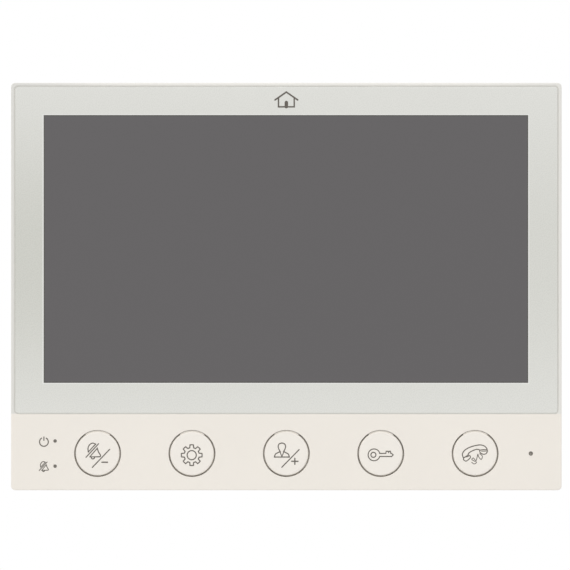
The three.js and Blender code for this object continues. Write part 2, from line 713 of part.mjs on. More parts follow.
// A cap with its flange and stem, its front face at y = 0.
function buttonCap() {
  const radius = BUTTON_DIAMETER / 2;
  const flange = [FLANGE_FRONT - FRONT, FLANGE_FRONT + FLANGE_THICKNESS - FRONT];
  const stem = STEM_END - FRONT;
  const edge = 0.3;
  const body = turned([
    [0, 0],
    [radius - edge, 0],
    [radius, edge],
    [radius, flange[0]],
    [FLANGE_RADIUS, flange[0]],
    [FLANGE_RADIUS, flange[1]],
    [STEM_DIAMETER / 2, flange[1]],
    [STEM_DIAMETER / 2, stem],
    [0, stem],
  ]);
  const tab = block(spread(0, KEY_TAB_WIDTH), flange, [
    FLANGE_RADIUS - 1,
    FLANGE_RADIUS + COLLAR_WALL,
  ]);
  return join(body, tab);
}

// A tactile switch body, its front face at y = 0, with a well for the plunger.
const switchBody = () =>
  cut(
    block(spread(0, SWITCH_SIZE), [0, SWITCH_HEIGHT - SEAT_GAP], spread(0, SWITCH_SIZE)),
    rod(PLUNGER_DIAMETER / 2 + SEAT_GAP, [-1, PLUNGER_ROOT + BUTTON_TRAVEL + SLIP_GAP]),
  );

const switchPlunger = () => rod(PLUNGER_DIAMETER / 2, [-PLUNGER_HEIGHT, PLUNGER_ROOT]);

function keyBoard() {
  const edge = WALL + SLIP_GAP + TONGUE_WALL + SLIP_GAP;
  const left = -(SIDE - edge);
  const right = SIDE - edge;
  const low = BOTTOM + edge;
  const high = BUTTON_Z + KEY_BOARD_EDGE;
  const outline = roundedRectangle(right - left, high - low, 1, 0, (low + high) / 2);
  const holes = KEY_BOARD_SCREWS.map(([x, z]) =>
    rod(SCREW_HOLE_RADIUS, [KEY_BOARD_FRONT - 1, KEY_BOARD_BACK + 1], x, z),
  );
  return cut(plate(outline, [KEY_BOARD_FRONT, KEY_BOARD_BACK]), ...holes);
}

// A clear rod that carries an indicator's light to the front.
function lightPipe() {
  const slim = INDICATOR_DIAMETER / 2 - SEAT_GAP / 2;
  return turned(
    [
      [0, FRONT + SEAT_GAP],
      [slim, FRONT + SEAT_GAP],
      [slim, PANEL_BACK + SEAT_GAP],
      [1.3, PANEL_BACK + SEAT_GAP],
      [1.3, PANEL_BACK + 1],
      [1, PANEL_BACK + 1],
      [1, KEY_BOARD_FRONT - 1],
      [0, KEY_BOARD_FRONT - 1],
    ],
    COARSE,
  );
}

const lightEmitter = () =>
  block(spread(0, 2), [KEY_BOARD_FRONT - 0.8, KEY_BOARD_FRONT - SEAT_GAP / 2], spread(0, 1.25));

// The microphone's rubber boot: a cup with a sound hole, open at the back.
function microphoneBoot() {
  const inner = MICROPHONE_DIAMETER / 2 + SEAT_GAP / 2;
  const front = PANEL_BACK + SEAT_GAP;
  const floor = front + 0.8;
  const back = floor + MICROPHONE_LENGTH - 0.3;
  return turned(
    [
      [MICROPHONE_HOLE / 2, front],
      [inner + BOOT_WALL, front],
      [inner + BOOT_WALL, back],
      [inner, back],
      [inner, floor],
      [MICROPHONE_HOLE / 2, floor],
      [MICROPHONE_HOLE / 2, front],
    ],
    20,
  );
}

function microphoneCapsule() {
  const front = PANEL_BACK + 0.8 + 2 * SEAT_GAP;
  const back = front + MICROPHONE_LENGTH;
  const can = rod(MICROPHONE_DIAMETER / 2, [front, back], 0, 0, 20);
  const pins = [-1.25, 1.25].map((x) => rod(0.3, [back - 0.5, KEY_BOARD_FRONT - SEAT_GAP], x, 0, 8));
  return join(can, ...pins);
}

// ---------------------------------------------------------------- main board

function mainBoard() {
  const outline = roundedRectangle(MAIN_BOARD_WIDTH, MAIN_BOARD_HEIGHT, 1.5, MAIN_BOARD_X, MAIN_BOARD_Z);
  const holes = [...MAIN_BOARD_SCREWS, ...MAIN_BOARD_PINS].map(([x, z]) =>
    rod(SCREW_HOLE_RADIUS, [BOARD_FRONT - 1, BOARD_BACK + 1], x, z),
  );
  return cut(plate(outline, [BOARD_FRONT, BOARD_BACK]), ...holes);
}

// A flat chip that stands on the board's back, which is y = 0 here.
const chip = (width, height, thickness) =>
  block(spread(0, width), [SEAT_GAP / 2, thickness], spread(0, height));

// A coil in a rounded square case, and a can capacitor on its square foot.
const inductor = () =>
  plate(roundedRectangle(INDUCTOR.size, INDUCTOR.size, 2), [SEAT_GAP / 2, INDUCTOR.height]);

function capacitor() {
  const foot = spread(0, CAPACITOR_DIAMETER + SLIP_GAP);
  const can = rod(CAPACITOR_DIAMETER / 2, [0.9, CAPACITOR_HEIGHT], 0, 0, 20);
  return join(block(foot, [SEAT_GAP / 2, 1], foot), can);
}

// A wire-to-board header: a box with a well, pins standing in it, and a notch for the latch.
function terminal() {
  const shell = block(
    spread(0, TERMINAL_WIDTH),
    [SEAT_GAP / 2, TERMINAL_HEIGHT],
    spread(0, TERMINAL_BREADTH),
  );
  const well = block(
    spread(0, TERMINAL_WIDTH - 1.6),
    [1.6, TERMINAL_HEIGHT + 1],
    spread(0, TERMINAL_BREADTH - 1.6),
  );
  const notch = block(spread(0, 4), [3, TERMINAL_HEIGHT + 1], [0, TERMINAL_BREADTH]);
  const pins = Array.from({ length: TERMINAL_PINS }, (_, i) =>
    block(
      spread((i - (TERMINAL_PINS - 1) / 2) * 2.5, 0.64),
      [1.5, TERMINAL_HEIGHT - 0.8],
      spread(-0.3, 0.64),
    ),
  );
  return join(cut(shell, well, notch), ...pins);
}

const flexSocket = () =>
  block(spread(0, FLEX_SOCKET.width), [SEAT_GAP / 2, FLEX_SOCKET.height], spread(0, FLEX_SOCKET.breadth));

// ---------------------------------------------------------------- speaker

// The speaker's pieces are turned about its own axis, with y = 0 on the rear cover's inner face.
const SPEAKER_R = SPEAKER_DIAMETER / 2;

const speakerGasket = () =>
  turned([
    [SPEAKER_R - 2.5, -0.6],
    [SPEAKER_R - 0.3, -0.6],
    [SPEAKER_R - 0.3, -SEAT_GAP],
    [SPEAKER_R - 2.5, -SEAT_GAP],
    [SPEAKER_R - 2.5, -0.6],
  ]);

const speakerFrame = () =>
  turned([
    [6, -3.6],
    [SPEAKER_R - 3.4, -3.6],
    [SPEAKER_R - 1.6, -1.7],
    [SPEAKER_R, -1.7],
    [SPEAKER_R, -0.7],
    [SPEAKER_R - 2.6, -0.7],
    [SPEAKER_R - 2.6, -1.4],
    [SPEAKER_R - 4.2, -3],
    [6, -3],
    [6, -3.6],
  ]);

const speakerCone = () =>
  turned([
    [0, -1.9],
    [3, -2.5],
    [SPEAKER_R - 5.2, -1.9],
    [SPEAKER_R - 3.9, -1.2],
    [SPEAKER_R - 2.9, -1.5],
    [SPEAKER_R - 2.9, -1.2],
    [SPEAKER_R - 3.9, -0.9],
    [SPEAKER_R - 5.2, -1.6],
    [3, -2.2],
    [0, -1.5],
  ]);

const speakerMagnet = () =>
  turned([
    [0, -5.6],
    [8.5, -5.6],
    [8.5, -3.7],
    [5.8, -3.7],
    [5.8, -2.7],
    [0, -2.7],
  ]);

// ---------------------------------------------------------------- cables

// The display's flex leaves the tray's lower edge and turns up behind the board to its socket.
function lcdFlex() {
  const trayBottom = LCD_TRAY_Z - LCD_TRAY_HEIGHT / 2;
  const exit = LCD_FRONT + LCD_CELL_THICKNESS;
  const socket = BOARD_LOW + FLEX_SOCKET.rise - FLEX_SOCKET.breadth / 2 - SEAT_GAP;
  return strip(
    [
      [exit, trayBottom - SEAT_GAP],
      [exit + 0.6, trayBottom - 1.1],
      [(exit + BOARD_BACK) / 2, trayBottom - 1.7],
      [BOARD_BACK + 0.2, trayBottom - 0.6],
      [BOARD_BACK + 1, trayBottom + 2.5],
      [BOARD_BACK + 1, socket],
    ],
    0.25,
    spread(0, 25),
  );
}

// The key board's ribbon rises behind both boards.
function keyCable() {
  const low = BUTTON_Z + 2;
  const high = BOARD_LOW + 3;
  const behind = BOARD_BACK + 2.2;
  return strip(
    [
      [KEY_BOARD_BACK + SEAT_GAP, low],
      [KEY_BOARD_BACK + 1, low],
      [behind, low + 3],
      [behind, (low + high) / 2],
      [behind, high - 2],
      [BOARD_BACK + 1, high],
      [BOARD_BACK + SEAT_GAP, high],
    ],
    0.9,
    spread(-38, 9),
  );
}

// Two wires in one sleeve, from the speaker's rim to the board.
function speakerLead() {
  const start = SPEAKER_BACK - 5;
  const boardEdge = MAIN_BOARD_X + MAIN_BOARD_WIDTH / 2;
  const line = new THREE.CatmullRomCurve3(
    [
      [SPEAKER_X - SPEAKER_R + 3, start, SPEAKER_Z - 6],
      [SPEAKER_X - SPEAKER_R - 1, start - 0.9, SPEAKER_Z - 8],
      [(SPEAKER_X - SPEAKER_R + boardEdge) / 2 - 0.5, BOARD_BACK + 1, SPEAKER_Z - 9],
      [boardEdge - 2.5, BOARD_BACK + 1.1, SPEAKER_Z - 9],
      [boardEdge - 6, BOARD_BACK + 1, SPEAKER_Z - 9],
    ].map((p) => new THREE.Vector3(...p)),
  );
  const section = new THREE.Shape().absarc(0, 0, 0.75, 0, 2 * Math.PI, false);
  return new THREE.ExtrudeGeometry(section, { extrudePath: line, steps: 16, curveSegments: 4 });
}

// ---------------------------------------------------------------- wall bracket

function wallBracket() {
  const outline = roundedRectangle(BRACKET_WIDTH, BRACKET_HEIGHT, BRACKET_RADIUS);
  const slot = (width, height, x, z) =>
    roundedRectangle(width, height, Math.min(width, height) / 2 - 0.01, x, z, THREE.Path);
  const slotX = WALL_SLOT_SPACING / 2;
  outline.holes.push(
    roundedRectangle(2 * BAY.x, 2 * BAY.z + LIFT, 2, 0, TERMINAL_Z, THREE.Path),
    slot(WALL_SLOT_LENGTH, WALL_SLOT_WIDTH, -slotX, 6),
    slot(WALL_SLOT_LENGTH, WALL_SLOT_WIDTH, slotX, 6),
    slot(WALL_SLOT_WIDTH, WALL_SLOT_LENGTH, 0, BRACKET_HEIGHT / 2 - 9),
    ...HOOKS.map(([x, z]) =>
      roundedRectangle(
        HOOK_WIDTH + 1,
        HOOK_TIP + 1,
        0.5,
        x,
        z - BRACKET_THICKNESS - (HOOK_TIP + 1) / 2,
        THREE.Path,
      ),
    ),
  );
  const sheet = plate(outline, [-BRACKET_THICKNESS, 0]);
  const reach = RECESS_INNER - BRACKET_CLEARANCE;
  const hooks = HOOKS.flatMap(([x, z]) => [
    block(
      spread(x, HOOK_WIDTH),
      [reach - BRACKET_THICKNESS, -BRACKET_THICKNESS / 2],
      [z - BRACKET_THICKNESS, z],
    ),
    block(
      spread(x, HOOK_WIDTH),
      [reach - BRACKET_THICKNESS, reach],
      [z - BRACKET_THICKNESS / 2, z + HOOK_TIP],
    ),
  ]);
  return join(sheet, ...hooks);
}

// ---------------------------------------------------------------- assembly

const casing = group(
  mesh("front_bezel", frontBezel(), FINISH.casing),
  mesh("rear_cover", rearCover(), FINISH.casing),
);

const coverSeat = PARTING + SCREW_SEAT;
const coverShank = coverSeat - CHASSIS_FRONT + SCREW_ENGAGEMENT - SLIP_GAP;
const keyBoardShank = BOARD_THICKNESS + SCREW_ENGAGEMENT - SLIP_GAP;
const mainBoardShank = BOARD_THICKNESS + BOARD_SCREW_DEPTH;
const driven = (name, shank, [x, z], seat) =>
  mesh(name, screw(shank), FINISH.screw, x, seat + SEAT_GAP / 2, z);
const fasteners = group(
  ...COVER_SCREWS.map((place, i) => driven(`cover_screw_${i + 1}`, coverShank, place, coverSeat)),
  ...KEY_BOARD_SCREWS.map((place, i) =>
    driven(`key_board_screw_${i + 1}`, keyBoardShank, place, KEY_BOARD_BACK),
  ),
  ...MAIN_BOARD_SCREWS.map((place, i) =>
    driven(`main_board_screw_${i + 1}`, mainBoardShank, place, BOARD_BACK),
  ),
);

const display = group(
  mesh("front_glass", frontGlass(), FINISH.glass),
  mesh("glass_adhesive", glassAdhesive(), FINISH.tape),
  mesh("lcd_cell", lcdCell(), FINISH.lcd),
  mesh("lcd_backlight", lcdBacklight(), FINISH.steel),
  mesh("lcd_chassis", lcdChassis(), FINISH.steel),
  mesh("lcd_flex", lcdFlex(), FINISH.flex),
);

const keys = group(
  ...BUTTONS.flatMap(({ name, x }) => [
    mesh(`${name}_button`, buttonCap(), FINISH.casing, x, FRONT, BUTTON_Z),
    mesh(`${name}_switch_body`, switchBody(), FINISH.switch, x, SWITCH_FRONT, BUTTON_Z),
    mesh(`${name}_switch_plunger`, switchPlunger(), FINISH.plunger, x, SWITCH_FRONT, BUTTON_Z),
  ]),
  mesh("key_board", keyBoard(), FINISH.board),
  mesh("key_cable", keyCable(), FINISH.rubber),
  ...["power", "mute"].flatMap((name, i) => {
    const z = BUTTON_Z + (0.5 - i) * INDICATOR_SPACING;
    return [
      mesh(`${name}_light_pipe`, lightPipe(), FINISH.lens, INDICATOR_X, 0, z),
      mesh(`${name}_led`, lightEmitter(), FINISH.plunger, INDICATOR_X, 0, z),
    ];
  }),
  mesh("microphone_boot", microphoneBoot(), FINISH.rubber, MICROPHONE_X, 0, BUTTON_Z),
  mesh("microphone_capsule", microphoneCapsule(), FINISH.steel, MICROPHONE_X, 0, BUTTON_Z),
);

const electronics = group(
  mesh("main_board", mainBoard(), FINISH.board),
  mesh("flex_socket", flexSocket(), FINISH.chip, 0, BOARD_BACK, BOARD_LOW + FLEX_SOCKET.rise),
  ...["door_terminal_1", "door_terminal_2", "camera_terminal", "power_terminal"].map((name, i) =>
    mesh(name, terminal(), FINISH.terminal, (i - 1.5) * TERMINAL_PITCH, BOARD_BACK, TERMINAL_Z),
  ),
  ...CHIPS.map(({ name, width, height, thickness, x, z }) =>
    mesh(name, chip(width, height, thickness), FINISH.chip, x, BOARD_BACK, z),
  ),
  mesh("power_inductor", inductor(), FINISH.chip, INDUCTOR.x, BOARD_BACK, INDUCTOR.z),
  ...CAPACITORS.map(({ x, z }, i) =>
    mesh(`supply_capacitor_${i + 1}`, capacitor(), FINISH.steel, x, BOARD_BACK, z),
  ),
);

const speaker = group(
  mesh("speaker_gasket", speakerGasket(), FINISH.rubber),
  mesh("speaker_frame", speakerFrame(), FINISH.steel),
  mesh("speaker_cone", speakerCone(), FINISH.paper),
  mesh("speaker_magnet", speakerMagnet(), FINISH.steel),
);
speaker.position.set(SPEAKER_X, SPEAKER_BACK, SPEAKER_Z);

const monitor = group(
  casing,
  fasteners,
  display,
  keys,
  electronics,
  speaker,
  mesh("speaker_lead", speakerLead(), FINISH.rubber),
);
const intercom = group(monitor, mesh("wall_bracket", wallBracket(), FINISH.steel));

export default intercom;
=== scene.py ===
"""A seven-inch video intercom monitor on its wall bracket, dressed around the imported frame.

Lengths inside the classes are millimetres and become metres when a mesh is kept. The front faces -Y.
"""

import logging
import math
from collections.abc import Iterable, Sequence
from dataclasses import dataclass, field, replace
from enum import Enum

import bmesh
import bpy
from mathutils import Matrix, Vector

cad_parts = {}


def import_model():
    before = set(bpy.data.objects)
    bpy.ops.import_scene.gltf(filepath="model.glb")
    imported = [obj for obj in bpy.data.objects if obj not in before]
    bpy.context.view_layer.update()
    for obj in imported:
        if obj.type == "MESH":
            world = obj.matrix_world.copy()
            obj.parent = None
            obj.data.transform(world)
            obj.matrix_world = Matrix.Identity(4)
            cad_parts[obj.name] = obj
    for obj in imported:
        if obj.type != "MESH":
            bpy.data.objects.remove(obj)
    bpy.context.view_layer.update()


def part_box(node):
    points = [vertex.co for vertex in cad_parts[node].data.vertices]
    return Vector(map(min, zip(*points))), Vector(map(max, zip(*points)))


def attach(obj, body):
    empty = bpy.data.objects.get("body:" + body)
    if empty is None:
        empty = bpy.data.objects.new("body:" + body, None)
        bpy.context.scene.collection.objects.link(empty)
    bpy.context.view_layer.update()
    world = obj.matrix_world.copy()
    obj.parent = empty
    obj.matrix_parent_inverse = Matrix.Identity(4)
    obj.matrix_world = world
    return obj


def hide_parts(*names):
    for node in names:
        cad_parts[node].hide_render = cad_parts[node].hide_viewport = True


LOG = logging.getLogger("intercom")
MM = 0.001
PRINT = 0.03  # thickness of a printed line
PRINT_STEP = 0.05  # share of it by which each further line of a sign lies lower
GAP = 0.1  # between pieces that rest on each other
SLIP = 0.3  # round a piece that moves or passes through
CREASE = math.radians(32)  # an edge that turns by more stays sharp

Colour = tuple[float, float, float]
Point = tuple[float, float]


class Body(Enum):
    """The parts of the frame that move as one."""

    MONITOR = "monitor"
    BRACKET = "bracket"
    MUTE = "mute_key"
    MENU = "menu_key"
    VISITOR = "visitor_key"
    UNLOCK = "unlock_key"
    TALK = "talk_key"


class Joining(Enum):
    """How one solid meets another."""

    CUT = "DIFFERENCE"
    JOIN = "UNION"
    TRIM = "INTERSECT"


# ---------------------------------------------------------------- places and outlines


@dataclass(frozen=True)
class Extent:
    """The box of a frame node at rest, in millimetres."""

    low: Vector
    high: Vector

    @classmethod
    def of(cls, node: str) -> "Extent":
        """Measures one frame node.

        Args:
            node: The node's name in the frame.

        Returns:
            The node's box.
        """
        low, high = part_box(node)
        return cls(low / MM, high / MM)

    @property
    def centre(self) -> Vector:
        """The middle of the box."""
        return (self.low + self.high) / 2

    @property
    def size(self) -> Vector:
        """The box's length along each axis."""
        return self.high - self.low

    @property
    def middle(self) -> Point:
        """Where the middle of the box is along X and Z."""
        return (self.centre.x, self.centre.z)

    def outline(self, radius: float, margin: float = 0.0) -> "Outline":
        """Draws the box's outline as seen from the front.

        Args:
            radius: Its corner radius.
            margin: How far it lies outside the box.

        Returns:
            The outline.
        """
        low = (self.low.x - margin, self.low.z - margin)
        return Outline.between(low, (self.high.x + margin, self.high.z + margin), radius)


@dataclass(frozen=True)
class Outline:
    """A rounded rectangle in the X-Z plane. A round or a slot is one whose radius reaches its middle."""

    width: float
    height: float
    radius: float
    x: float = 0.0
    z: float = 0.0

    @classmethod
    def round(cls, radius: float, x: float = 0.0, z: float = 0.0) -> "Outline":
        """Makes a circle.

        Args:
            radius: The circle's radius.
            x: Where its centre is along X.
            z: Where its centre is along Z.

        Returns:
            The circle's outline.
        """
        return cls(2 * radius, 2 * radius, radius, x, z)

    @classmethod
    def between(cls, low: Point, high: Point, radius: float) -> "Outline":
        """Makes a rounded rectangle from two opposite corners.

        Args:
            low: Its lowest x and z.
            high: Its highest x and z.
            radius: Its corner radius.

        Returns:
            The outline.
        """
        width, height = high[0] - low[0], high[1] - low[1]
        return cls(width, height, radius, (low[0] + high[0]) / 2, (low[1] + high[1]) / 2)

    def grown(self, by: float) -> "Outline":
        """Moves the outline outwards all round.

        Args:
            by: How far, or less than nothing to move it inwards.

        Returns:
            The new outline.
        """
        radius = max(self.radius + by, 0.02)
        return replace(self, width=self.width + 2 * by, height=self.height + 2 * by, radius=radius)

    def points(self, corner: int) -> list[Point]:
        """Walks round the outline, anticlockwise as seen from the front.

        Args:
            corner: How many steps each corner takes.

        Returns:
            The points, each one once.
        """
        radius = min(self.radius, self.width / 2, self.height / 2)
        reach = (self.width / 2 - radius, self.height / 2 - radius)
        sides = ((1, 1), (-1, 1), (-1, -1), (1, -1))
        walk = []
        for quarter, (across, up) in enumerate(sides):
            for step in range(corner + 1):
                angle = (quarter + step / corner) * math.pi / 2
                x = self.x + across * reach[0] + radius * math.cos(angle)
                z = self.z + up * reach[1] + radius * math.sin(angle)
                if not walk or math.dist(walk[-1], (x, z)) > 1e-5:
                    walk.append((x, z))
        if math.dist(walk[0], walk[-1]) < 1e-5:
            walk.pop()
        return walk


Section = tuple[float, Outline]


# ---------------------------------------------------------------- solids


class Solid:
    """A closed body being made, in millimetres."""

    def __init__(self, vertices: Sequence[Sequence[float]], faces: Sequence[Sequence[int]]) -> None:
        """Makes the body with its faces turned outwards.

        Args:
            vertices: Its corners.
            faces: The corners of each face.
        """
        mesh = bpy.data.meshes.new("solid")
        mesh.from_pydata(vertices, [], faces)
        shape = bmesh.new()
        shape.from_mesh(mesh)
        bmesh.ops.recalc_face_normals(shape, faces=shape.faces)
        shape.to_mesh(mesh)
        shape.free()
        self.made = bpy.data.objects.new("solid", mesh)
        bpy.context.scene.collection.objects.link(self.made)

    def combine(self, joining: Joining, tools: Iterable["Solid"]) -> "Solid":
        """Cuts this body by others, joins them to it or trims it to them, and uses them up.

        Args:
            joining: What to do.
            tools: The other bodies, taken in turn.

        Returns:
            This body.
        """
        used = list(tools)
        for tool in used:
            step = self.made.modifiers.new("combine", "BOOLEAN")
            step.solver = "MANIFOLD"
            step.operation = joining.value
            step.object = tool.made
        before = self.made.data
        seen = self.made.evaluated_get(bpy.context.evaluated_depsgraph_get())
        after = bpy.data.meshes.new_from_object(seen)
        self.made.modifiers.clear()
        self.made.data = after
        bpy.data.meshes.remove(before)
        for tool in used:
            bpy.data.meshes.remove(tool.made.data)
        return self

    def cut(self, *tools: "Solid") -> "Solid":
        """Takes other bodies out of this one."""
        return self.combine(Joining.CUT, tools)

    def join(self, *tools: "Solid") -> "Solid":
        """Adds other bodies to this one."""
        return self.combine(Joining.JOIN, tools)

    def trim(self, *tools: "Solid") -> "Solid":
        """Keeps only what lies inside the other bodies."""
        return self.combine(Joining.TRIM, tools)

    def keep(
        self,
        name: str,
        body: Body,
        finish: "Finish",
        stands_for: Sequence[str] = (),
        edge: float = 0.0,
    ) -> None:
        """Makes the body a finished piece of the model.

        Args:
            name: The piece's name.
            body: What it moves with.
            finish: What it looks like.
            stands_for: The frame nodes that it replaces.
            edge: The rounding of its edges, or 0 where they are rounded already.
        """
        piece, mesh = self.made, self.made.data
        mesh.name = name
        piece.name = name
        for vertex in mesh.vertices:
            vertex.co *= MM
        mesh.polygons.foreach_set("use_smooth", [True] * len(mesh.polygons))
        mesh.set_sharp_from_angle(angle=CREASE)
        if not any(mesh.materials):
            mesh.materials.clear()
            mesh.materials.append(finish.material())
        if edge:
            rounding = piece.modifiers.new("rounding", "BEVEL")
            rounding.width = edge * MM
            rounding.segments = 2
            rounding.limit_method = "ANGLE"
            rounding.angle_limit = CREASE
            rounding.harden_normals = True
        else:
            shading = piece.modifiers.new("shading", "WEIGHTED_NORMAL")
            shading.keep_sharp = True
        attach(piece, body.value)
        if stands_for:
            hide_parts(*stands_for)
        LOG.info("%s: %d faces, on %s", name, len(mesh.polygons), body.value)


def loft(sections: Sequence[Section], corner: int = 8) -> Solid:
    """Spans a skin through outlines that have the same number of points, and closes both ends.

    Args:
        sections: Each outline with its place along Y.
        corner: How many steps each corner takes.

    Returns:
        The solid.
    """
    vertices, faces = [], []
    for y, outline in sections:
        vertices += [(x, y, z) for x, z in outline.points(corner)]
    count = len(vertices) // len(sections)
    for row in range(len(sections) - 1):
        for i in range(count):
            a, b = row * count + i, row * count + (i + 1) % count
            faces.append((a, a + count, b + count, b))
    last = count * (len(sections) - 1)
    faces.append(tuple(range(count)))
    faces.append(tuple(reversed(range(last, last + count))))
    return Solid(vertices, faces)


def lip(outline: Outline, face: float, edge: float, into: float, steps: int = 4) -> list[Section]:
    """Works out the sections of a rounded edge between a face and the wall that leaves it.

    Args:
        outline: The wall's outline.
        face: Where the face is along Y.
        edge: The edge's radius: the outline grows by it at the face, or shrinks if it is negative.
        into: 1 if the wall goes from the face towards +Y, or -1 towards -Y.
        steps: How many steps the rounding takes.

    Returns:
        The sections from the face to the start of the wall.
    """
    sections = []
    for step in range(steps + 1):
        turn = step / steps * math.pi / 2
        y = face + into * abs(edge) * (1 - math.cos(turn))
        sections.append((y, outline.grown(edge * (1 - math.sin(turn)))))
    return sections


def plate(outline: Outline, front: float, back: float, edge: float = 0.0, corner: int = 8) -> Solid:
    """Makes a flat plate, with its front and back edges rounded if it has an edge radius.

    Args:
        outline: Its outline.
        front: Its front face along Y.
        back: Its back face along Y.
        edge: Its edge radius.
        corner: How many steps each corner takes.

    Returns:
        The plate.
    """
    if not edge:
        return loft([(front, outline), (back, outline)], corner)
    first = lip(outline, front, -edge, 1, 3)
    last = lip(outline, back, -edge, -1, 3)
    return loft(first + last[::-1], corner)


def opening(outline: Outline, front: float, deep: float, edge: float, corner: int = 8) -> Solid:
    """Makes a tool that cuts a hole into a face, with the hole's mouth rounded.

    Args:
        outline: The hole's outline.
        front: The face that it is cut into, along Y.
        deep: Where it ends along Y, in front of or behind the face.
        edge: The radius of its mouth.
        corner: How many steps each corner takes.

    Returns:
        The tool.
    """
    into = math.copysign(1, deep - front)
    mouth = [(front - into, outline.grown(edge))]
    sections = mouth + lip(outline, front, edge, into) + [(deep, outline)]
    return loft(sections, corner)


def through(outline: Outline, front: float, back: float, edge: float, corner: int = 8) -> Solid:
    """Makes a tool that cuts a hole right through a wall, with both mouths rounded.

    Args:
        outline: The hole's outline.
        front: The wall's front face along Y.
        back: Its back face.
        edge: The radius of both mouths.
        corner: How many steps each corner takes.

    Returns:
        The tool.
    """
    near = [(front - 1, outline.grown(edge))] + lip(outline, front, edge, 1, 3)
    far = [(back + 1, outline.grown(edge))] + lip(outline, back, edge, -1, 3)
    return loft(near + far[::-1], corner)


def block(low: Sequence[float], high: Sequence[float]) -> Solid:
    """Makes a box between two corners.

    Args:
        low: Its lowest corner.
        high: Its highest corner.

    Returns:
        The box.
    """
    ends = (low, high)
    corners = [(ends[i & 1][0], ends[i >> 1 & 1][1], ends[i >> 2][2]) for i in range(8)]
    sides = [(0, 1, 3, 2), (4, 6, 7, 5), (0, 4, 5, 1), (2, 3, 7, 6), (0, 2, 6, 4), (1, 5, 7, 3)]
    return Solid(corners, sides)


def turned(profile: Sequence[Point], x: float, z: float, sides: int = 64) -> Solid:
    """Turns a profile about a line along Y.

    Args:
        profile: Radius and y of each point. It starts and ends on the line, or else it is a closed loop.
        x: Where the line is along X.
        z: Where the line is along Z.
        sides: How many sides the turned piece has.

    Returns:
        The solid.
    """
    vertices, faces, rows = [], [], []
    for radius, y in profile:
        count = 1 if radius < 1e-6 else sides
        rows.append([len(vertices) + i for i in range(count)])
        for i in range(count):
            angle = 2 * math.pi * i / sides
            vertices.append((x + radius * math.cos(angle), y, z + radius * math.sin(angle)))
    looped = profile[0][0] > 1e-6
    pairs = list(zip(rows, rows[1:] + rows[:1] if looped else rows[1:]))
    for first, second in pairs:
        for i in range(sides):
            j = (i + 1) % sides
            ring = [first[i % len(first)], second[i % len(second)]]
            ring += [second[j % len(second)], first[j % len(first)]]
            faces.append(tuple(dict.fromkeys(ring)))
    return Solid(vertices, [face for face in faces if len(face) > 2])


def bar(section: Sequence[Point], low: float, high: float) -> Solid:
    """Carries a Y-Z outline along X.

    Args:
        section: The outline's points, each y and z.
        low: Where the bar starts along X.
        high: Where it ends.

    Returns:
        The bar.
    """
    count = len(section)
    vertices = [(x, y, z) for x in (low, high) for y, z in section]
    faces = [(i, (i + 1) % count, (i + 1) % count + count, i + count) for i in range(count)]
    faces += [tuple(reversed(range(count))), tuple(range(count, 2 * count))]
    return Solid(vertices, faces)


def gathered(solids: Sequence[Solid]) -> Solid:
    """Puts solids that don't touch into one.

    Args:
        solids: The solids, which are used up.

    Returns:
        One solid of several bodies.
    """
    vertices, faces = [], []
    for solid in solids:
        mesh = solid.made.data
        start = len(vertices)
        vertices += [tuple(vertex.co) for vertex in mesh.vertices]
        faces += [tuple(start + i for i in polygon.vertices) for polygon in mesh.polygons]
        bpy.data.meshes.remove(mesh)
    return Solid(vertices, faces)


# ---------------------------------------------------------------- line art


def arc(centre: Point, radius: float, start: float, end: float, steps: int = 16) -> list[Point]:
    """Walks along part of a circle.

    Args:
        centre: The circle's centre.
        radius: Its radius.
        start: The first angle in degrees, from +X towards +Z.
        end: The last angle in degrees.
        steps: How many steps it takes.

    Returns:
        The points.
    """
    angles = [math.radians(start + (end - start) * i / steps) for i in range(steps + 1)]
    return [(centre[0] + radius * math.cos(a), centre[1] + radius * math.sin(a)) for a in angles]


def spread(count: int, pitch: float) -> list[float]:
    """Spaces a number of places evenly about zero."""
    return [(i - (count - 1) / 2) * pitch for i in range(count)]


def flowing(knots: Sequence[Point], steps: int = 5) -> list[Point]:
    """Draws a smooth open line through points.

    Args:
        knots: The points.
        steps: How many steps it takes from one point to the next.

    Returns:
        The line's points.
    """
    ends = [knots[0], *knots, knots[-1]]
    line = []
    for four in zip(ends, ends[1:], ends[2:], ends[3:]):
        for i in range(steps):
            t = i / steps
            line.append(tuple(
                0.5 * (
                    2 * b + (c - a) * t
                    + (2 * a - 5 * b + 4 * c - d) * t**2
                    + (3 * b - a - 3 * c + d) * t**3
                )
                for a, b, c, d in zip(*four)
            ))
    return line + [tuple(knots[-1])]


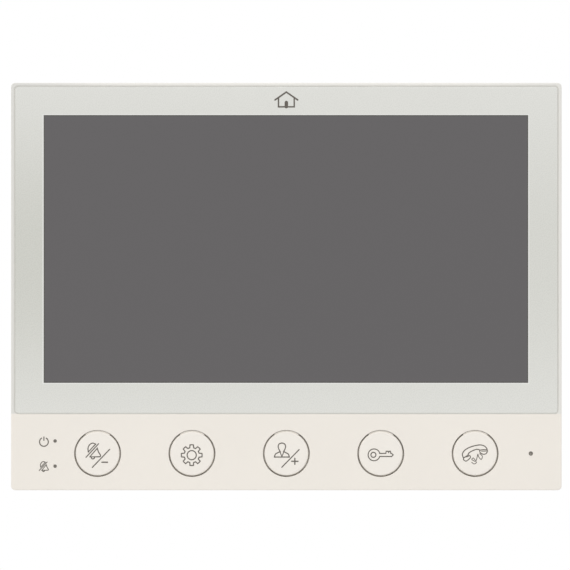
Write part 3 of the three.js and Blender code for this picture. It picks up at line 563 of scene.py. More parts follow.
@dataclass(frozen=True)
class Stroke:
    """One printed line."""

    points: Sequence[Point]
    closed: bool = False
    width: float = 0.34

    def rows(self) -> list[tuple[Point, Point]]:
        """Works out the two sides of the line, with round ends where it is open.

        Returns:
            The left and right point at each place along the line.
        """
        points = [Vector(point) for point in self.points]
        if self.closed and (points[0] - points[-1]).length < 1e-6:
            points.pop()
        count, rows = len(points), []
        for i, here in enumerate(points):
            before = points[i - 1] if i or self.closed else None
            after = points[(i + 1) % count] if i + 1 < count or self.closed else None
            ways = [(here - before).normalized()] if before else []
            ways += [(after - here).normalized()] if after else []
            along = sum(ways, Vector((0, 0))).normalized()
            lean = max(along.dot(ways[0]), 0.5)
            side = Vector((-along.y, along.x)) * self.width / 2 / lean
            if len(ways) == 1:
                rows += self.end(here, -along if after else along, side, first=bool(after))
            else:
                rows.append((here + side, here - side))
        return rows

    def end(self, here: Vector, out: Vector, side: Vector, first: bool) -> list[tuple[Vector, Vector]]:
        """Works out a round end.

        Args:
            here: The line's last point.
            out: The direction in which it ends.
            side: From the line's middle to its left side.
            first: Whether this is the line's start.

        Returns:
            The left and right point at each place, in the line's own order.
        """
        rows = []
        for degrees in (0, 35, 60, 80):
            turn = math.radians(degrees)
            place = here + out * (self.width / 2) * math.sin(turn)
            rows.append((place + side * math.cos(turn), place - side * math.cos(turn)))
        return rows[::-1] if first else rows

    def solid(self, x: float, z: float, front: float, back: float) -> Solid:
        """Makes the line as a thin raised print.

        Args:
            x: Where its own zero is along X.
            z: Where its own zero is along Z.
            front: Its front face along Y.
            back: Its back face along Y.

        Returns:
            The line's solid.
        """
        vertices = []
        for left, right in self.rows():
            for (across, up), y in ((left, front), (right, front), (right, back), (left, back)):
                vertices.append((x + across, y, z + up))
        count = len(vertices) // 4
        faces = []
        for i in range(count if self.closed else count - 1):
            a, b = 4 * i, 4 * ((i + 1) % count)
            faces += [(a + k, a + (k + 1) % 4, b + (k + 1) % 4, b + k) for k in range(4)]
        if not self.closed:
            faces += [(0, 1, 2, 3), tuple(4 * count - 4 + k for k in range(4))]
        return Solid(vertices, faces)


class Sign(Enum):
    """The printed signs."""

    MUTE = "mute"
    MENU = "menu"
    VISITOR = "visitor"
    UNLOCK = "unlock"
    TALK = "talk"
    POWER = "power"
    SILENT = "silent"
    HOUSE = "house"

    def strokes(self) -> list[Stroke]:
        """Draws the sign about its own zero."""
        return getattr(LineArt, self.value)()


KEYS = (Sign.MUTE, Sign.MENU, Sign.VISITOR, Sign.UNLOCK, Sign.TALK)


class LineArt:
    """Draws each sign as a few lines."""

    @staticmethod
    def bell(scale: float = 1.0, width: float = 0.34, x: float = 0.0, z: float = 0.0) -> list[Stroke]:
        """Draws a bell struck through.

        Args:
            scale: Its size.
            width: The lines' width.
            x: How far it is moved along X.
            z: How far it is moved along Z.

        Returns:
            The lines.
        """
        upper = flowing([(-2.95, 0.5), (-3.05, 1.6), (-2.8, 2.4), (-2.25, 3.05), (-1.5, 3.34), (-0.62, 3.0)])
        lower = flowing([(-0.1, 1.7), (0.3, 0.5), (0.92, -0.5), (0.8, -0.95), (0.3, -1.02)])
        drawn = [
            (upper, True),
            (lower + [(-2.45, -1.02)], True),
            ([(0.32, 3.12), (-3.68, -1.18)], False),
            (arc((-1.5, -1.15), 0.55, 180, 360, 8), False),
        ]
        return [
            Stroke([(x + scale * across, z + scale * up) for across, up in points], closed, width)
            for points, closed in drawn
        ]

    @staticmethod
    def mute() -> list[Stroke]:
        """Draws a bell struck through, a slash and a minus.

        Returns:
            The lines.
        """
        return [
            *LineArt.bell(),
            Stroke([(3.85, 1.35), (-1.68, -4.4)]),
            Stroke([(1.4, -2.75), (3.15, -2.75)], width=0.42),
        ]

    @staticmethod
    def menu() -> list[Stroke]:
        """Draws a gear with eight teeth.

        Returns:
            The lines.
        """
        centre, root, tip = (-0.08, -0.5), 2.42, 3.3
        rim = []
        for tooth in range(8):
            middle = 90 + tooth * 45
            rim += arc(centre, root, middle - 16.5, middle - 15, 2)
            rim += arc(centre, tip, middle - 9.5, middle + 9.5, 3)
            rim += arc(centre, root, middle + 15, middle + 16.5, 2)
        return [Stroke(rim, closed=True), Stroke(arc(centre, 1.45, 0, 360, 32), closed=True)]

    @staticmethod
    def visitor() -> list[Stroke]:
        """Draws a visitor's head and shoulders, a slash and a plus.

        Returns:
            The lines.
        """
        half = flowing([(-0.92, 0.62), (-0.48, 1.35), (-0.24, 2.25), (-0.55, 3.05), (-1.42, 3.38)])
        head = half + [(-2.84 - x, z) for x, z in half[-2::-1]]
        left = flowing([(-2.1, 0.6), (-2.75, 0.25), (-3.5, -0.2), (-3.78, -1.1)])
        right = [(-2.84 - x, z) for x, z in left]
        return [
            Stroke(head),
            Stroke(left + right[::-1]),
            Stroke([(-2.0, 0.5), (-1.42, -0.95), (-0.84, 0.5)]),
            Stroke([(4.05, 1.25), (-1.45, -4.35)]),
            Stroke([(1.7, -2.45), (3.7, -2.45)], width=0.4),
            Stroke([(2.7, -3.4), (2.7, -1.5)], width=0.4),
        ]

    @staticmethod
    def unlock() -> list[Stroke]:
        """Draws a key.

        Returns:
            The lines.
        """
        bow = (-2.13, -0.4)
        tip = [(3.45, -0.93), (3.95, -0.42), (3.5, 0.02)]
        teeth = [(3.2, 0.06), (3.05, 0.75), (2.65, 0.75), (2.5, 0.35)]
        teeth += [(2.25, 0.75), (1.75, 0.75), (1.6, 0.06)]
        return [
            Stroke(arc(bow, 1.88, 14, 344, 28) + tip + teeth, closed=True, width=0.32),
            Stroke(arc((bow[0] - 0.2, bow[1]), 0.8, 0, 360, 20), closed=True),
        ]

    @staticmethod
    def talk() -> list[Stroke]:
        """Draws a telephone handset with its curly lead.

        Returns:
            The lines.
        """
        outer = flowing([
            (-3.75, -1.3), (-4.05, -0.1), (-3.2, 1.15), (-1.6, 2.05),
            (0.25, 2.58), (1.8, 2.75), (3.1, 2.3), (3.85, 1.4),
        ])
        inner = flowing([(1.45, 1.15), (0.5, 1.35), (-0.95, 0.85), (-1.95, 0.2), (-2.3, -0.45)])
        left = flowing([
            (-2.25, -0.5), (-1.65, -0.7), (-1.5, -1.25), (-2.1, -1.9), (-2.95, -2.4), (-3.7, -1.95),
        ])
        right = flowing([(1.5, 1.1), (1.5, 0.5), (2.0, 0.0), (2.85, -0.22), (3.6, 0.1), (3.95, 0.9)])
        lead = flowing([
            (1.45, -0.05), (2.3, -0.85), (1.9, -1.85), (1.1, -1.0), (0.85, -0.25), (0.3, -2.2),
            (-0.55, -1.4), (-1.05, -1.85), (-0.3, -2.35), (0.45, -2.75), (-0.3, -3.3), (-1.1, -2.75),
        ])
        return [
            Stroke(outer, width=0.32),
            Stroke(inner, width=0.32),
            Stroke(left + [(-3.65, -1.35)], closed=True, width=0.3),
            Stroke(right + [(3.75, 1.2), (2.6, 1.25)], closed=True, width=0.3),
            Stroke([(-3.3, -1.15), (-2.05, -0.9)], width=0.24),
            Stroke([(2.0, 0.75), (3.6, 0.8)], width=0.24),
            Stroke(lead, width=0.24),
        ]

    @staticmethod
    def power() -> list[Stroke]:
        """Draws a broken ring with a bar."""
        return [Stroke(arc((0, 0), 1.4, 122, 418, 24)), Stroke([(0, 0.5), (0, 1.55)])]

    @staticmethod
    def silent() -> list[Stroke]:
        """Draws a small bell struck through."""
        return LineArt.bell(0.63, 0.27, 0.82, -0.36)

    @staticmethod
    def house() -> list[Stroke]:
        """Draws a plain house outline.

        Returns:
            The lines.
        """
        return [
            Stroke([(-3.6, -0.1), (0, 2.4), (3.6, -0.1)], width=0.5),
            Stroke([(-2.5, 0.4), (-2.5, -2.3), (2.5, -2.3), (2.5, 0.4)], width=0.45),
            Stroke([(0, -2.25), (0, -0.9)], width=1.1),
        ]


def printed(sign: Sign, name: str, body: Body, place: Point, face: float) -> None:
    """Prints a sign on a face that looks to the front.

    Args:
        sign: Which sign.
        name: The piece's name.
        body: What it moves with.
        place: Where the sign's zero is, along X and Z.
        face: The face's place along Y.
    """
    lines = []
    for order, stroke in enumerate(sign.strokes()):
        front = face - PRINT * (1 - PRINT_STEP * order)
        lines.append(stroke.solid(*place, front, face + PRINT))
    gathered(lines).keep(name, body, INK)


# ---------------------------------------------------------------- finishes


class Wiring:
    """The node tree of one material, round its Principled shader."""

    def __init__(self, name: str) -> None:
        """Starts a material.

        Args:
            name: The material's name.
        """
        self.made = bpy.data.materials.new(name)
        self.made.use_nodes = True
        self.tree = self.made.node_tree
        self.shader = self.tree.nodes["Principled BSDF"]
        self.place = self.add("ShaderNodeTexCoord").outputs["Object"]

    def add(self, kind: str, **settings: object) -> bpy.types.Node:
        """Adds a node.

        Args:
            kind: The node's type.
            **settings: What to set on it.

        Returns:
            The node.
        """
        node = self.tree.nodes.new(kind)
        for key, value in settings.items():
            setattr(node, key, value)
        return node

    def link(self, source: bpy.types.NodeSocket, target: bpy.types.NodeSocket) -> None:
        """Joins two sockets."""
        self.tree.links.new(source, target)

    def along(self, axis: str) -> bpy.types.NodeSocket:
        """Takes one of the piece's own coordinates.

        Args:
            axis: X, Y or Z.

        Returns:
            The coordinate.
        """
        split = self.add("ShaderNodeSeparateXYZ")
        self.link(self.place, split.inputs["Vector"])
        return split.outputs[axis]

    def scaled(self, stretch: Sequence[float]) -> bpy.types.NodeSocket:
        """Scales the piece's own coordinates.

        Args:
            stretch: The scale along each axis.

        Returns:
            The scaled coordinates.
        """
        mapping = self.add("ShaderNodeMapping")
        mapping.inputs["Scale"].default_value = stretch
        self.link(self.place, mapping.inputs["Vector"])
        return mapping.outputs["Vector"]

    def noise(
        self, size: float, detail: float = 2.0, stretch: Sequence[float] = (1, 1, 1)
    ) -> bpy.types.NodeSocket:
        """Adds noise.

        Args:
            size: The size of a patch, in millimetres.
            detail: How much finer noise it carries.
            stretch: The coordinates' scale along each axis.

        Returns:
            The noise, from 0 to 1.
        """
        node = self.add("ShaderNodeTexNoise")
        node.inputs["Scale"].default_value = 1 / (size * MM)
        node.inputs["Detail"].default_value = detail
        self.link(self.scaled(stretch), node.inputs["Vector"])
        return node.outputs["Fac"]

    def ranged(
        self, value: bpy.types.NodeSocket, start: Point, end: Point, smooth: bool = False
    ) -> bpy.types.NodeSocket:
        """Maps one range of values to another and clamps it.

        Args:
            value: What to map.
            start: The lowest and highest value that come in.
            end: What they become.
            smooth: Whether the mapping eases in and out.

        Returns:
            The mapped value.
        """
        node = self.add("ShaderNodeMapRange")
        if smooth:
            node.interpolation_type = "SMOOTHSTEP"
        for socket, number in zip(("From Min", "From Max", "To Min", "To Max"), (*start, *end)):
            node.inputs[socket].default_value = number
        self.link(value, node.inputs["Value"])
        return node.outputs["Result"]

    def maths(
        self, operation: str, first: bpy.types.NodeSocket, second: "float | bpy.types.NodeSocket" = 0.0
    ) -> bpy.types.NodeSocket:
        """Does one sum.

        Args:
            operation: Which sum.
            first: The first value.
            second: The second value.

        Returns:
            The result.
        """
        node = self.add("ShaderNodeMath", operation=operation)
        self.link(first, node.inputs[0])
        if isinstance(second, float):
            node.inputs[1].default_value = second
        else:
            self.link(second, node.inputs[1])
        return node.outputs["Value"]

    def mixed(
        self,
        share: bpy.types.NodeSocket,
        first: "Colour | bpy.types.NodeSocket",
        second: "Colour | bpy.types.NodeSocket",
    ) -> bpy.types.NodeSocket:
        """Mixes two colours.

        Args:
            share: How much of the second one there is.
            first: The first colour.
            second: The second colour.

        Returns:
            The mixed colour.
        """
        node = self.add("ShaderNodeMix", data_type="RGBA")
        self.link(share, node.inputs["Factor"])
        for socket, colour in ((node.inputs[6], first), (node.inputs[7], second)):
            if isinstance(colour, tuple):
                socket.default_value = (*colour, 1.0)
            else:
                self.link(colour, socket)
        return node.outputs[2]

    def bump(self, height: bpy.types.NodeSocket, relief: float) -> None:
        """Gives the surface a relief.

        Args:
            height: The relief's height, from 0 to 1.
            relief: How high 1 is, in millimetres.
        """
        node = self.add("ShaderNodeBump")
        node.inputs["Distance"].default_value = relief * MM
        self.link(height, node.inputs["Height"])
        self.link(node.outputs["Normal"], self.shader.inputs["Normal"])


@dataclass(frozen=True)
class Finish:
    """A surface whose colour, gloss and relief vary a little."""

    name: str
    slot: str
    colour: Colour
    shade: float = 0.04  # share by which patches are darker
    patch: float = 12.0
    gloss: Point = (0.42, 0.52)  # lowest and highest roughness
    grain: float = 0.35
    relief: float = 0.004
    stretch: tuple[float, float, float] = (1, 1, 1)
    metallic: float = 0.0
    coat: float = 0.0

    def material(self) -> bpy.types.Material:
        """Finds the finish's material, or makes it."""
        return bpy.data.materials.get(self.name) or self.wired().made

    def wired(self) -> Wiring:
        """Makes the material.

        Returns:
            Its wiring.
        """
        wiring = Wiring(self.name)
        inputs = wiring.shader.inputs
        inputs["Metallic"].default_value = self.metallic
        inputs["Coat Weight"].default_value = self.coat
        fine = wiring.noise(self.grain, 3.0, self.stretch)
        wiring.link(wiring.ranged(fine, (0.3, 0.7), self.gloss), inputs["Roughness"])
        wiring.link(self.paint(wiring), inputs["Base Color"])
        wiring.bump(fine, self.relief)
        return wiring

    def paint(self, wiring: Wiring) -> bpy.types.NodeSocket:
        """Works out the surface's colour.

        Args:
            wiring: The material's wiring.

        Returns:
            The colour.
        """
        darker = tuple(channel * (1 - self.shade) for channel in self.colour)
        patches = wiring.ranged(wiring.noise(self.patch), (0.35, 0.65), (0, 1))
        return wiring.mixed(patches, self.colour, darker)


@dataclass(frozen=True)
class PrintedShadedGlass(Finish):
    """Glass with pale ink behind it, painted darker half way up either side as painted shade, most of all on
    the left.
    """

    # painted shade: the ink's colour where the pane is painted darkest, half way up either side
    thin: Colour = (0.61, 0.613, 0.563)
    middle: float = 9.0
    reach: Point = (4.0, 62.0)
    sides: Point = (1.0, 0.56)  # how much of the painted shade there is on the left and on the right
    span: float = 60.0

    def paint(self, wiring: Wiring) -> bpy.types.NodeSocket:
        """Works out the ink's colour with its painted shade.

        Args:
            wiring: The material's wiring.

        Returns:
            The colour.
        """
        away = wiring.maths("ABSOLUTE", wiring.maths("SUBTRACT", wiring.along("Z"), self.middle * MM))
        near, far = (reach * MM for reach in self.reach)
        rise = wiring.ranged(away, (near, far), (1, 0), smooth=True)
        side = wiring.ranged(wiring.along("X"), (-self.span * MM, self.span * MM), self.sides)
        return wiring.mixed(wiring.maths("MULTIPLY", rise, side), super().paint(wiring), self.thin)


@dataclass(frozen=True)
class RimShadedCasing(Finish):
    """Moulded casing with painted shade on the narrow rim round the glass: a shade greyer, most of all at its
    sides and on the left.
    """

    # painted shade: the rim's colour, and a greyer one towards the sides
    rim: Colour = (0.83, 0.813, 0.768)
    side: Colour = (0.725, 0.716, 0.68)
    bottom: float = -40.6
    depth: Point = (-20.9, -20.6)
    turn: Point = (50.0, 86.0)  # between which distances from the middle the painted shade of the sides sets in
    # how much of the sides' painted shade there is on the left and on the right
    sides: Point = (1.0, 0.5)

    def paint(self, wiring: Wiring) -> bpy.types.NodeSocket:
        """Works out the casing's colour, with the painted shade on its rim.

        Args:
            wiring: The material's wiring.

        Returns:
            The colour.
        """
        above = wiring.ranged(wiring.along("Z"), (self.bottom * MM, (self.bottom + 0.3) * MM), (0, 1))
        front = wiring.ranged(wiring.along("Y"), tuple(depth * MM for depth in self.depth), (1, 0))
        out = wiring.maths("ABSOLUTE", wiring.along("X"))
        edge = wiring.ranged(out, tuple(turn * MM for turn in self.turn), (0, 1), smooth=True)
        share = wiring.ranged(wiring.along("X"), (-self.turn[0] * MM, self.turn[0] * MM), self.sides)
        rim = wiring.mixed(wiring.maths("MULTIPLY", edge, share), self.rim, self.side)
        return wiring.mixed(wiring.maths("MULTIPLY", above, front), super().paint(wiring), rim)


@dataclass(frozen=True)
class CircuitBoard(Finish):
    """Green solder mask over copper tracks, with plated holes."""

    track: Colour = (0.07, 0.3, 0.14)
    plating: Colour = (0.7, 0.52, 0.25)
    pitch: float = 1.5

    def paint(self, wiring: Wiring) -> bpy.types.NodeSocket:
        """Works out the board's colour.

        Args:
            wiring: The material's wiring.

        Returns:
            The colour.
        """
        base = super().paint(wiring)
        bands = []
        for direction in ("X", "Z"):
            wave = wiring.add("ShaderNodeTexWave", wave_type="BANDS", bands_direction=direction)
            wave.inputs["Scale"].default_value = math.pi / (10 * self.pitch * MM)
            wave.inputs["Distortion"].default_value = 0.6
            wiring.link(wiring.place, wave.inputs["Vector"])
            bands.append(wiring.ranged(wave.outputs["Fac"], (0.62, 0.7), (0, 1)))
        choice = wiring.ranged(wiring.noise(9.0), (0.49, 0.51), (0, 1))
        tracks = wiring.mixed(choice, bands[0], bands[1])
        masked = wiring.mixed(tracks, base, self.track)
        cells = wiring.add("ShaderNodeTexVoronoi")
        cells.inputs["Scale"].default_value = 1 / (3.4 * MM)
        wiring.link(wiring.place, cells.inputs["Vector"])
        holes = wiring.ranged(cells.outputs["Distance"], (0.09, 0.11), (1, 0))
        return wiring.mixed(holes, masked, self.plating)


@dataclass(frozen=True)
class Spangled(Finish):
    """Zinc-plated sheet, whose crystals catch the light differently."""

    crystal: float = 2.2

    def paint(self, wiring: Wiring) -> bpy.types.NodeSocket:
        """Works out the plating's colour.

        Args:
            wiring: The material's wiring.

        Returns:
            The colour.
        """
        cells = wiring.add("ShaderNodeTexVoronoi")
        cells.inputs["Scale"].default_value = 1 / (self.crystal * MM)
        wiring.link(wiring.place, cells.inputs["Vector"])
        shadow = tuple(channel * (1 - self.shade) for channel in self.colour)
        tone = wiring.add("ShaderNodeSeparateColor")
        wiring.link(cells.outputs["Color"], tone.inputs["Color"])
        return wiring.mixed(tone.outputs["Red"], self.colour, shadow)


CASING = Finish(
    "moulded_casing", "casing", (0.86, 0.815, 0.75),
    shade=0.012, patch=30, gloss=(0.42, 0.5),
)
# The bezel's moulding, with painted shade on the rim round the glass.
BEZEL = RimShadedCasing(
    "moulded_bezel_rim_shade", "casing", (0.86, 0.815, 0.75),
    shade=0.012, patch=30, gloss=(0.42, 0.5),
)
CAP = Finish(
    "moulded_cap", "casing", (0.872, 0.83, 0.77),
    shade=0.01, patch=20, gloss=(0.36, 0.44), relief=0.003,
)
INK = Finish(
    "printed_ink", "casing", (0.125, 0.11, 0.092),
    shade=0.1, patch=0.6, gloss=(0.5, 0.65), grain=0.1,
)
# The pane's printed border, with painted shade half way up either side.
PANE = PrintedShadedGlass(
    "printed_pane_painted_shade", "cover_glass", (0.742, 0.742, 0.704),
    shade=0.01, patch=60, gloss=(0.25, 0.3), relief=0.0, coat=1.0,
)
# A pale line round the picture, a shade lighter than the border.
PANE_LINE = Finish(
    "pane_line", "cover_glass", (0.8, 0.8, 0.77),
    shade=0.01, gloss=(0.25, 0.3), relief=0.0, coat=1.0,
)
PICTURE_EDGE = Finish(
    "picture_edge", "cover_glass", (0.07, 0.068, 0.06),
    shade=0.05, gloss=(0.25, 0.3), relief=0.0, coat=1.0,
)
PICTURE = Finish(
    "picture_area", "cover_glass", (0.085, 0.079, 0.0822),
    shade=0.03, patch=0.5, gloss=(0.3, 0.36), relief=0.0, coat=1.0,
)
# A pale seal, tinted greyer than the casing as painted shade of the groove round the glass.
SEAL_WITH_GROOVE_SHADE = Finish(
    "seal_with_painted_groove_shade", "tape", (0.7, 0.69, 0.64),
    shade=0.03, patch=8, gloss=(0.5, 0.6), relief=0.002,
)
FELT = Finish(
    "grey_felt", "rubber", (0.42, 0.4, 0.37),
    shade=0.25, patch=0.3, gloss=(0.85, 0.95), grain=0.06, relief=0.02,
)
TAPE = Finish(
    "foam_tape", "tape", (0.5, 0.5, 0.47),
    shade=0.1, patch=2, gloss=(0.7, 0.85), relief=0.02,
)
LENS = Finish(
    "smoked_lens", "clear_plastic", (0.17, 0.155, 0.13),
    shade=0.1, patch=0.4, gloss=(0.2, 0.3), coat=0.6,
)
RUBBER = Finish(
    "black_rubber", "rubber", (0.018, 0.018, 0.019),
    shade=0.2, patch=3, gloss=(0.6, 0.75), relief=0.01,
)
STEEL = Spangled(
    "zinc_plate", "zinc_sheet", (0.64, 0.65, 0.67),
    shade=0.17, gloss=(0.28, 0.42), metallic=1.0, grain=0.5, relief=0.002,
)
BOARD = CircuitBoard(
    "solder_mask", "circuit_board", (0.025, 0.14, 0.06),
    shade=0.2, patch=4, gloss=(0.3, 0.4), relief=0.01,
)
RESIN = Finish(
    "black_resin", "chip", (0.022, 0.022, 0.025),
    shade=0.2, patch=1, gloss=(0.5, 0.62), grain=0.08, relief=0.006,
)
NYLON = Finish(
    "white_nylon", "terminal", (0.8, 0.78, 0.7),
    shade=0.03, patch=3, gloss=(0.4, 0.5), relief=0.003,
)
GOLD = Finish(
    "gold_pin", "terminal", (0.9, 0.68, 0.33),
    shade=0.1, patch=0.5, gloss=(0.2, 0.3), metallic=1.0,
)
TIN = Finish(
    "tinned_lead", "can", (0.75, 0.75, 0.74),
    shade=0.1, patch=0.5, gloss=(0.25, 0.4), metallic=1.0,
)
SLEEVE = Finish(
    "aluminium_can", "can", (0.8, 0.8, 0.8),
    shade=0.08, patch=2, gloss=(0.22, 0.34), metallic=1.0, stretch=(1, 0.05, 1),
)
SCREW = Finish(
    "nickel_screw", "screw_metal", (0.74, 0.74, 0.72),
    shade=0.15, patch=0.8, gloss=(0.25, 0.38), metallic=1.0, grain=0.2,
)
PAPER = Finish(
    "cone_paper", "cone_paper", (0.03, 0.029, 0.028),
    shade=0.3, patch=1.2, gloss=(0.75, 0.9), grain=0.25, relief=0.03,
)
BASKET = Finish(
    "pressed_basket", "speaker_metal", (0.5, 0.5, 0.52),
    shade=0.15, patch=3, gloss=(0.3, 0.42), metallic=1.0,
)
FILM = Finish(
    "polyimide_film", "flex_film", (0.48, 0.2, 0.035),
    shade=0.2, patch=1.2, gloss=(0.25, 0.35), stretch=(6, 1, 0.3), coat=0.4,
)
TRAY = Finish(
    "steel_tray", "tray", (0.6, 0.61, 0.63),
    shade=0.1, patch=6, gloss=(0.3, 0.42), metallic=1.0, stretch=(1, 1, 0.05),
)
CELL = Finish(
    "display_cell", "display", (0.05, 0.05, 0.055),
    shade=0.1, patch=2, gloss=(0.12, 0.2), coat=0.5,
)
PLUNGER = Finish(
    "switch_plunger", "plunger", (0.74, 0.72, 0.68),
    shade=0.05, patch=1, gloss=(0.4, 0.5),
)


# ---------------------------------------------------------------- casing


@dataclass
class Casing:
    """Sizes that several pieces share."""

    wall: float = 2.0
    corner: float = 1.3
    standoff: float = 0.8
    panel: float = 2.2
    cap_radius: float = 7.0
    cap_flange: float = 1.4
    screw_hole: float = 1.3
    bezel: Extent = field(init=False)
    glass: Extent = field(init=False)
    outline: Outline = field(init=False)
    screw_places: list[Point] = field(init=False)
    key_places: list[Point] = field(init=False)

    def __post_init__(self) -> None:
        """Measures the frame."""
        self.bezel = Extent.of("front_bezel")
        self.glass = Extent.of("front_glass")
        self.outline = Outline(self.bezel.size.x, self.bezel.size.z, self.corner)
        self.screw_places = [Extent.of(f"cover_screw_{i}").middle for i in range(1, 5)]
        self.key_places = [Extent.of(f"{key.value}_switch_plunger").middle for key in KEYS]

    @property
    def front(self) -> float:
        """The casing's front face along Y."""
        return self.bezel.low.y

    @property
    def parting(self) -> float:
        """Where the two shells meet along Y."""
        return self.bezel.high.y

    @property
    def behind_panel(self) -> float:
        """Where a piece that rests on the panel's back starts along Y."""
        return self.front + self.panel + GAP


@dataclass
class FrontBezel:
    """The front shell: a rim round the glass and the strip that holds the buttons."""

    casing: Casing
    edge: float = 0.36
    pocket_edge: float = 0.2
    hole_edge: float = 0.1
    groove: float = 0.25
    pocket_radius: float = 1.2
    inner_radius: float = 0.5
    back_edge: float = 0.12
    ledge: float = 1.6
    cap_gap: float = 0.45
    collar_wall: float = 1.0
    collar_height: float = 2.2
    tab_room: float = 1.3
    indicator: float = 0.55
    microphone: float = 0.68
    boss: float = 2.2
    screw_depth: float = 4.5
    sign_shift: Point = (-3.55, -0.28)  # from an indicator to its sign

    def build(self) -> None:
        """Makes the shell and prints the two small signs beside the indicators."""
        casing = self.casing
        self.face = casing.front + PRINT
        self.panel_back = casing.front + casing.panel
        self.collar = casing.cap_radius + casing.cap_flange + SLIP
        self.ledge_front = Extent.of("glass_adhesive").high.y + GAP / 2
        self.ledge_back = Extent.of("lcd_backlight").low.y - GAP
        shell = self.skin().cut(*self.insides()).join(*self.ribs()).cut(*self.holes())
        shell.keep("front_bezel_shell", Body.MONITOR, BEZEL, ["front_bezel"])
        for sign, node, name in (
            (Sign.POWER, "power_light_pipe", "power_sign"),
            (Sign.SILENT, "mute_light_pipe", "silent_sign"),
        ):
            x, z = Extent.of(node).middle
            place = (x + self.sign_shift[0], z + self.sign_shift[1])
            printed(sign, name, Body.MONITOR, place, self.face)

    def skin(self) -> Solid:
        """Makes the outer block, with its front edge rounded.

        Returns:
            The block.
        """
        outline, parting = self.casing.outline, self.casing.parting
        back = [(parting - self.back_edge, outline), (parting, outline.grown(-self.back_edge))]
        return loft(lip(outline, self.face, -self.edge, 1, 6) + back, 10)

    def insides(self) -> list[Solid]:
        """Makes the tool that hollows the shell from the back."""
        inner = replace(self.casing.outline.grown(-self.casing.wall), radius=self.inner_radius)
        return [loft([(self.panel_back, inner), (self.casing.parting + 1, inner)])]

    def ribs(self) -> list[Solid]:
        """Makes the ledge behind the glass, the buttons' collars and the screw bosses.

        Returns:
            What is added to the hollow block.
        """
        casing, glass = self.casing, self.casing.glass
        start = self.panel_back - GAP
        side = casing.bezel.high.x - casing.wall / 2
        top = casing.bezel.high.z - casing.wall / 2
        low = glass.low.z - self.groove - self.ledge
        ledge = block((-side, start, low), (side, self.ledge_back, top))
        radius = self.collar + self.collar_wall
        collars = [
            plate(Outline.round(radius, x, z), start, self.panel_back + self.collar_height)
            for x, z in casing.key_places
        ]
        chassis = Extent.of("lcd_chassis").low.y - GAP
        bosses = [plate(Outline.round(self.boss, x, z), start, chassis) for x, z in casing.screw_places]
        board = Extent.of("key_board").low.y - GAP
        posts = [plate(Outline.round(self.boss, x, z), start, board) for x, z in self.post_places()]
        return [ledge, *collars, *bosses, *posts]

    def post_places(self) -> list[Point]:
        """Finds the two posts that hold the key board."""
        return [Extent.of(f"key_board_screw_{i}").middle for i in (1, 2)]

    def holes(self) -> list[Solid]:
        """Makes the tools for the glass pocket, the picture, the buttons and every small hole.

        Returns:
            What is cut out of the shell.
        """
        casing, back = self.casing, self.panel_back
        pocket = casing.glass.outline(self.pocket_radius, self.groove)
        view = Extent.of("lcd_cell").outline(0.5)
        room = Extent.of("lcd_backlight").outline(0.3, SLIP)
        tools = [
            opening(pocket, self.face, self.ledge_front, self.pocket_edge, 10),
            plate(view, casing.front, self.ledge_back + 1),
            plate(room, self.ledge_back, casing.parting),
        ]
        reach = back + self.collar_height + 1
        for x, z in casing.key_places:
            hole = Outline.round(casing.cap_radius + self.cap_gap, x, z)
            tools.append(opening(hole, self.face, back + 1, self.hole_edge, 24))
            tools.append(plate(Outline.round(self.collar, x, z), back, casing.parting + 1, corner=16))
            tools.append(block((x - self.tab_room, back, z), (x + self.tab_room, reach, z + self.collar + 2)))
        for node in ("power_light_pipe", "mute_light_pipe"):
            hole = Outline.round(self.indicator, *Extent.of(node).middle)
            tools.append(opening(hole, self.face, back + 1, 0.04, 8))
        ear = Outline.round(self.microphone, *Extent.of("microphone_boot").middle)
        tools.append(opening(ear, self.face, back + 1, 0.08, 10))
        chassis, board = Extent.of("lcd_chassis").low.y, Extent.of("key_board").low.y
        for places, deep, end in (
            (casing.screw_places, chassis, casing.parting),
            (self.post_places(), board, board),
        ):
            for x, z in places:
                hole = Outline.round(casing.screw_hole, x, z)
                tools.append(plate(hole, deep - self.screw_depth, end))
        return tools


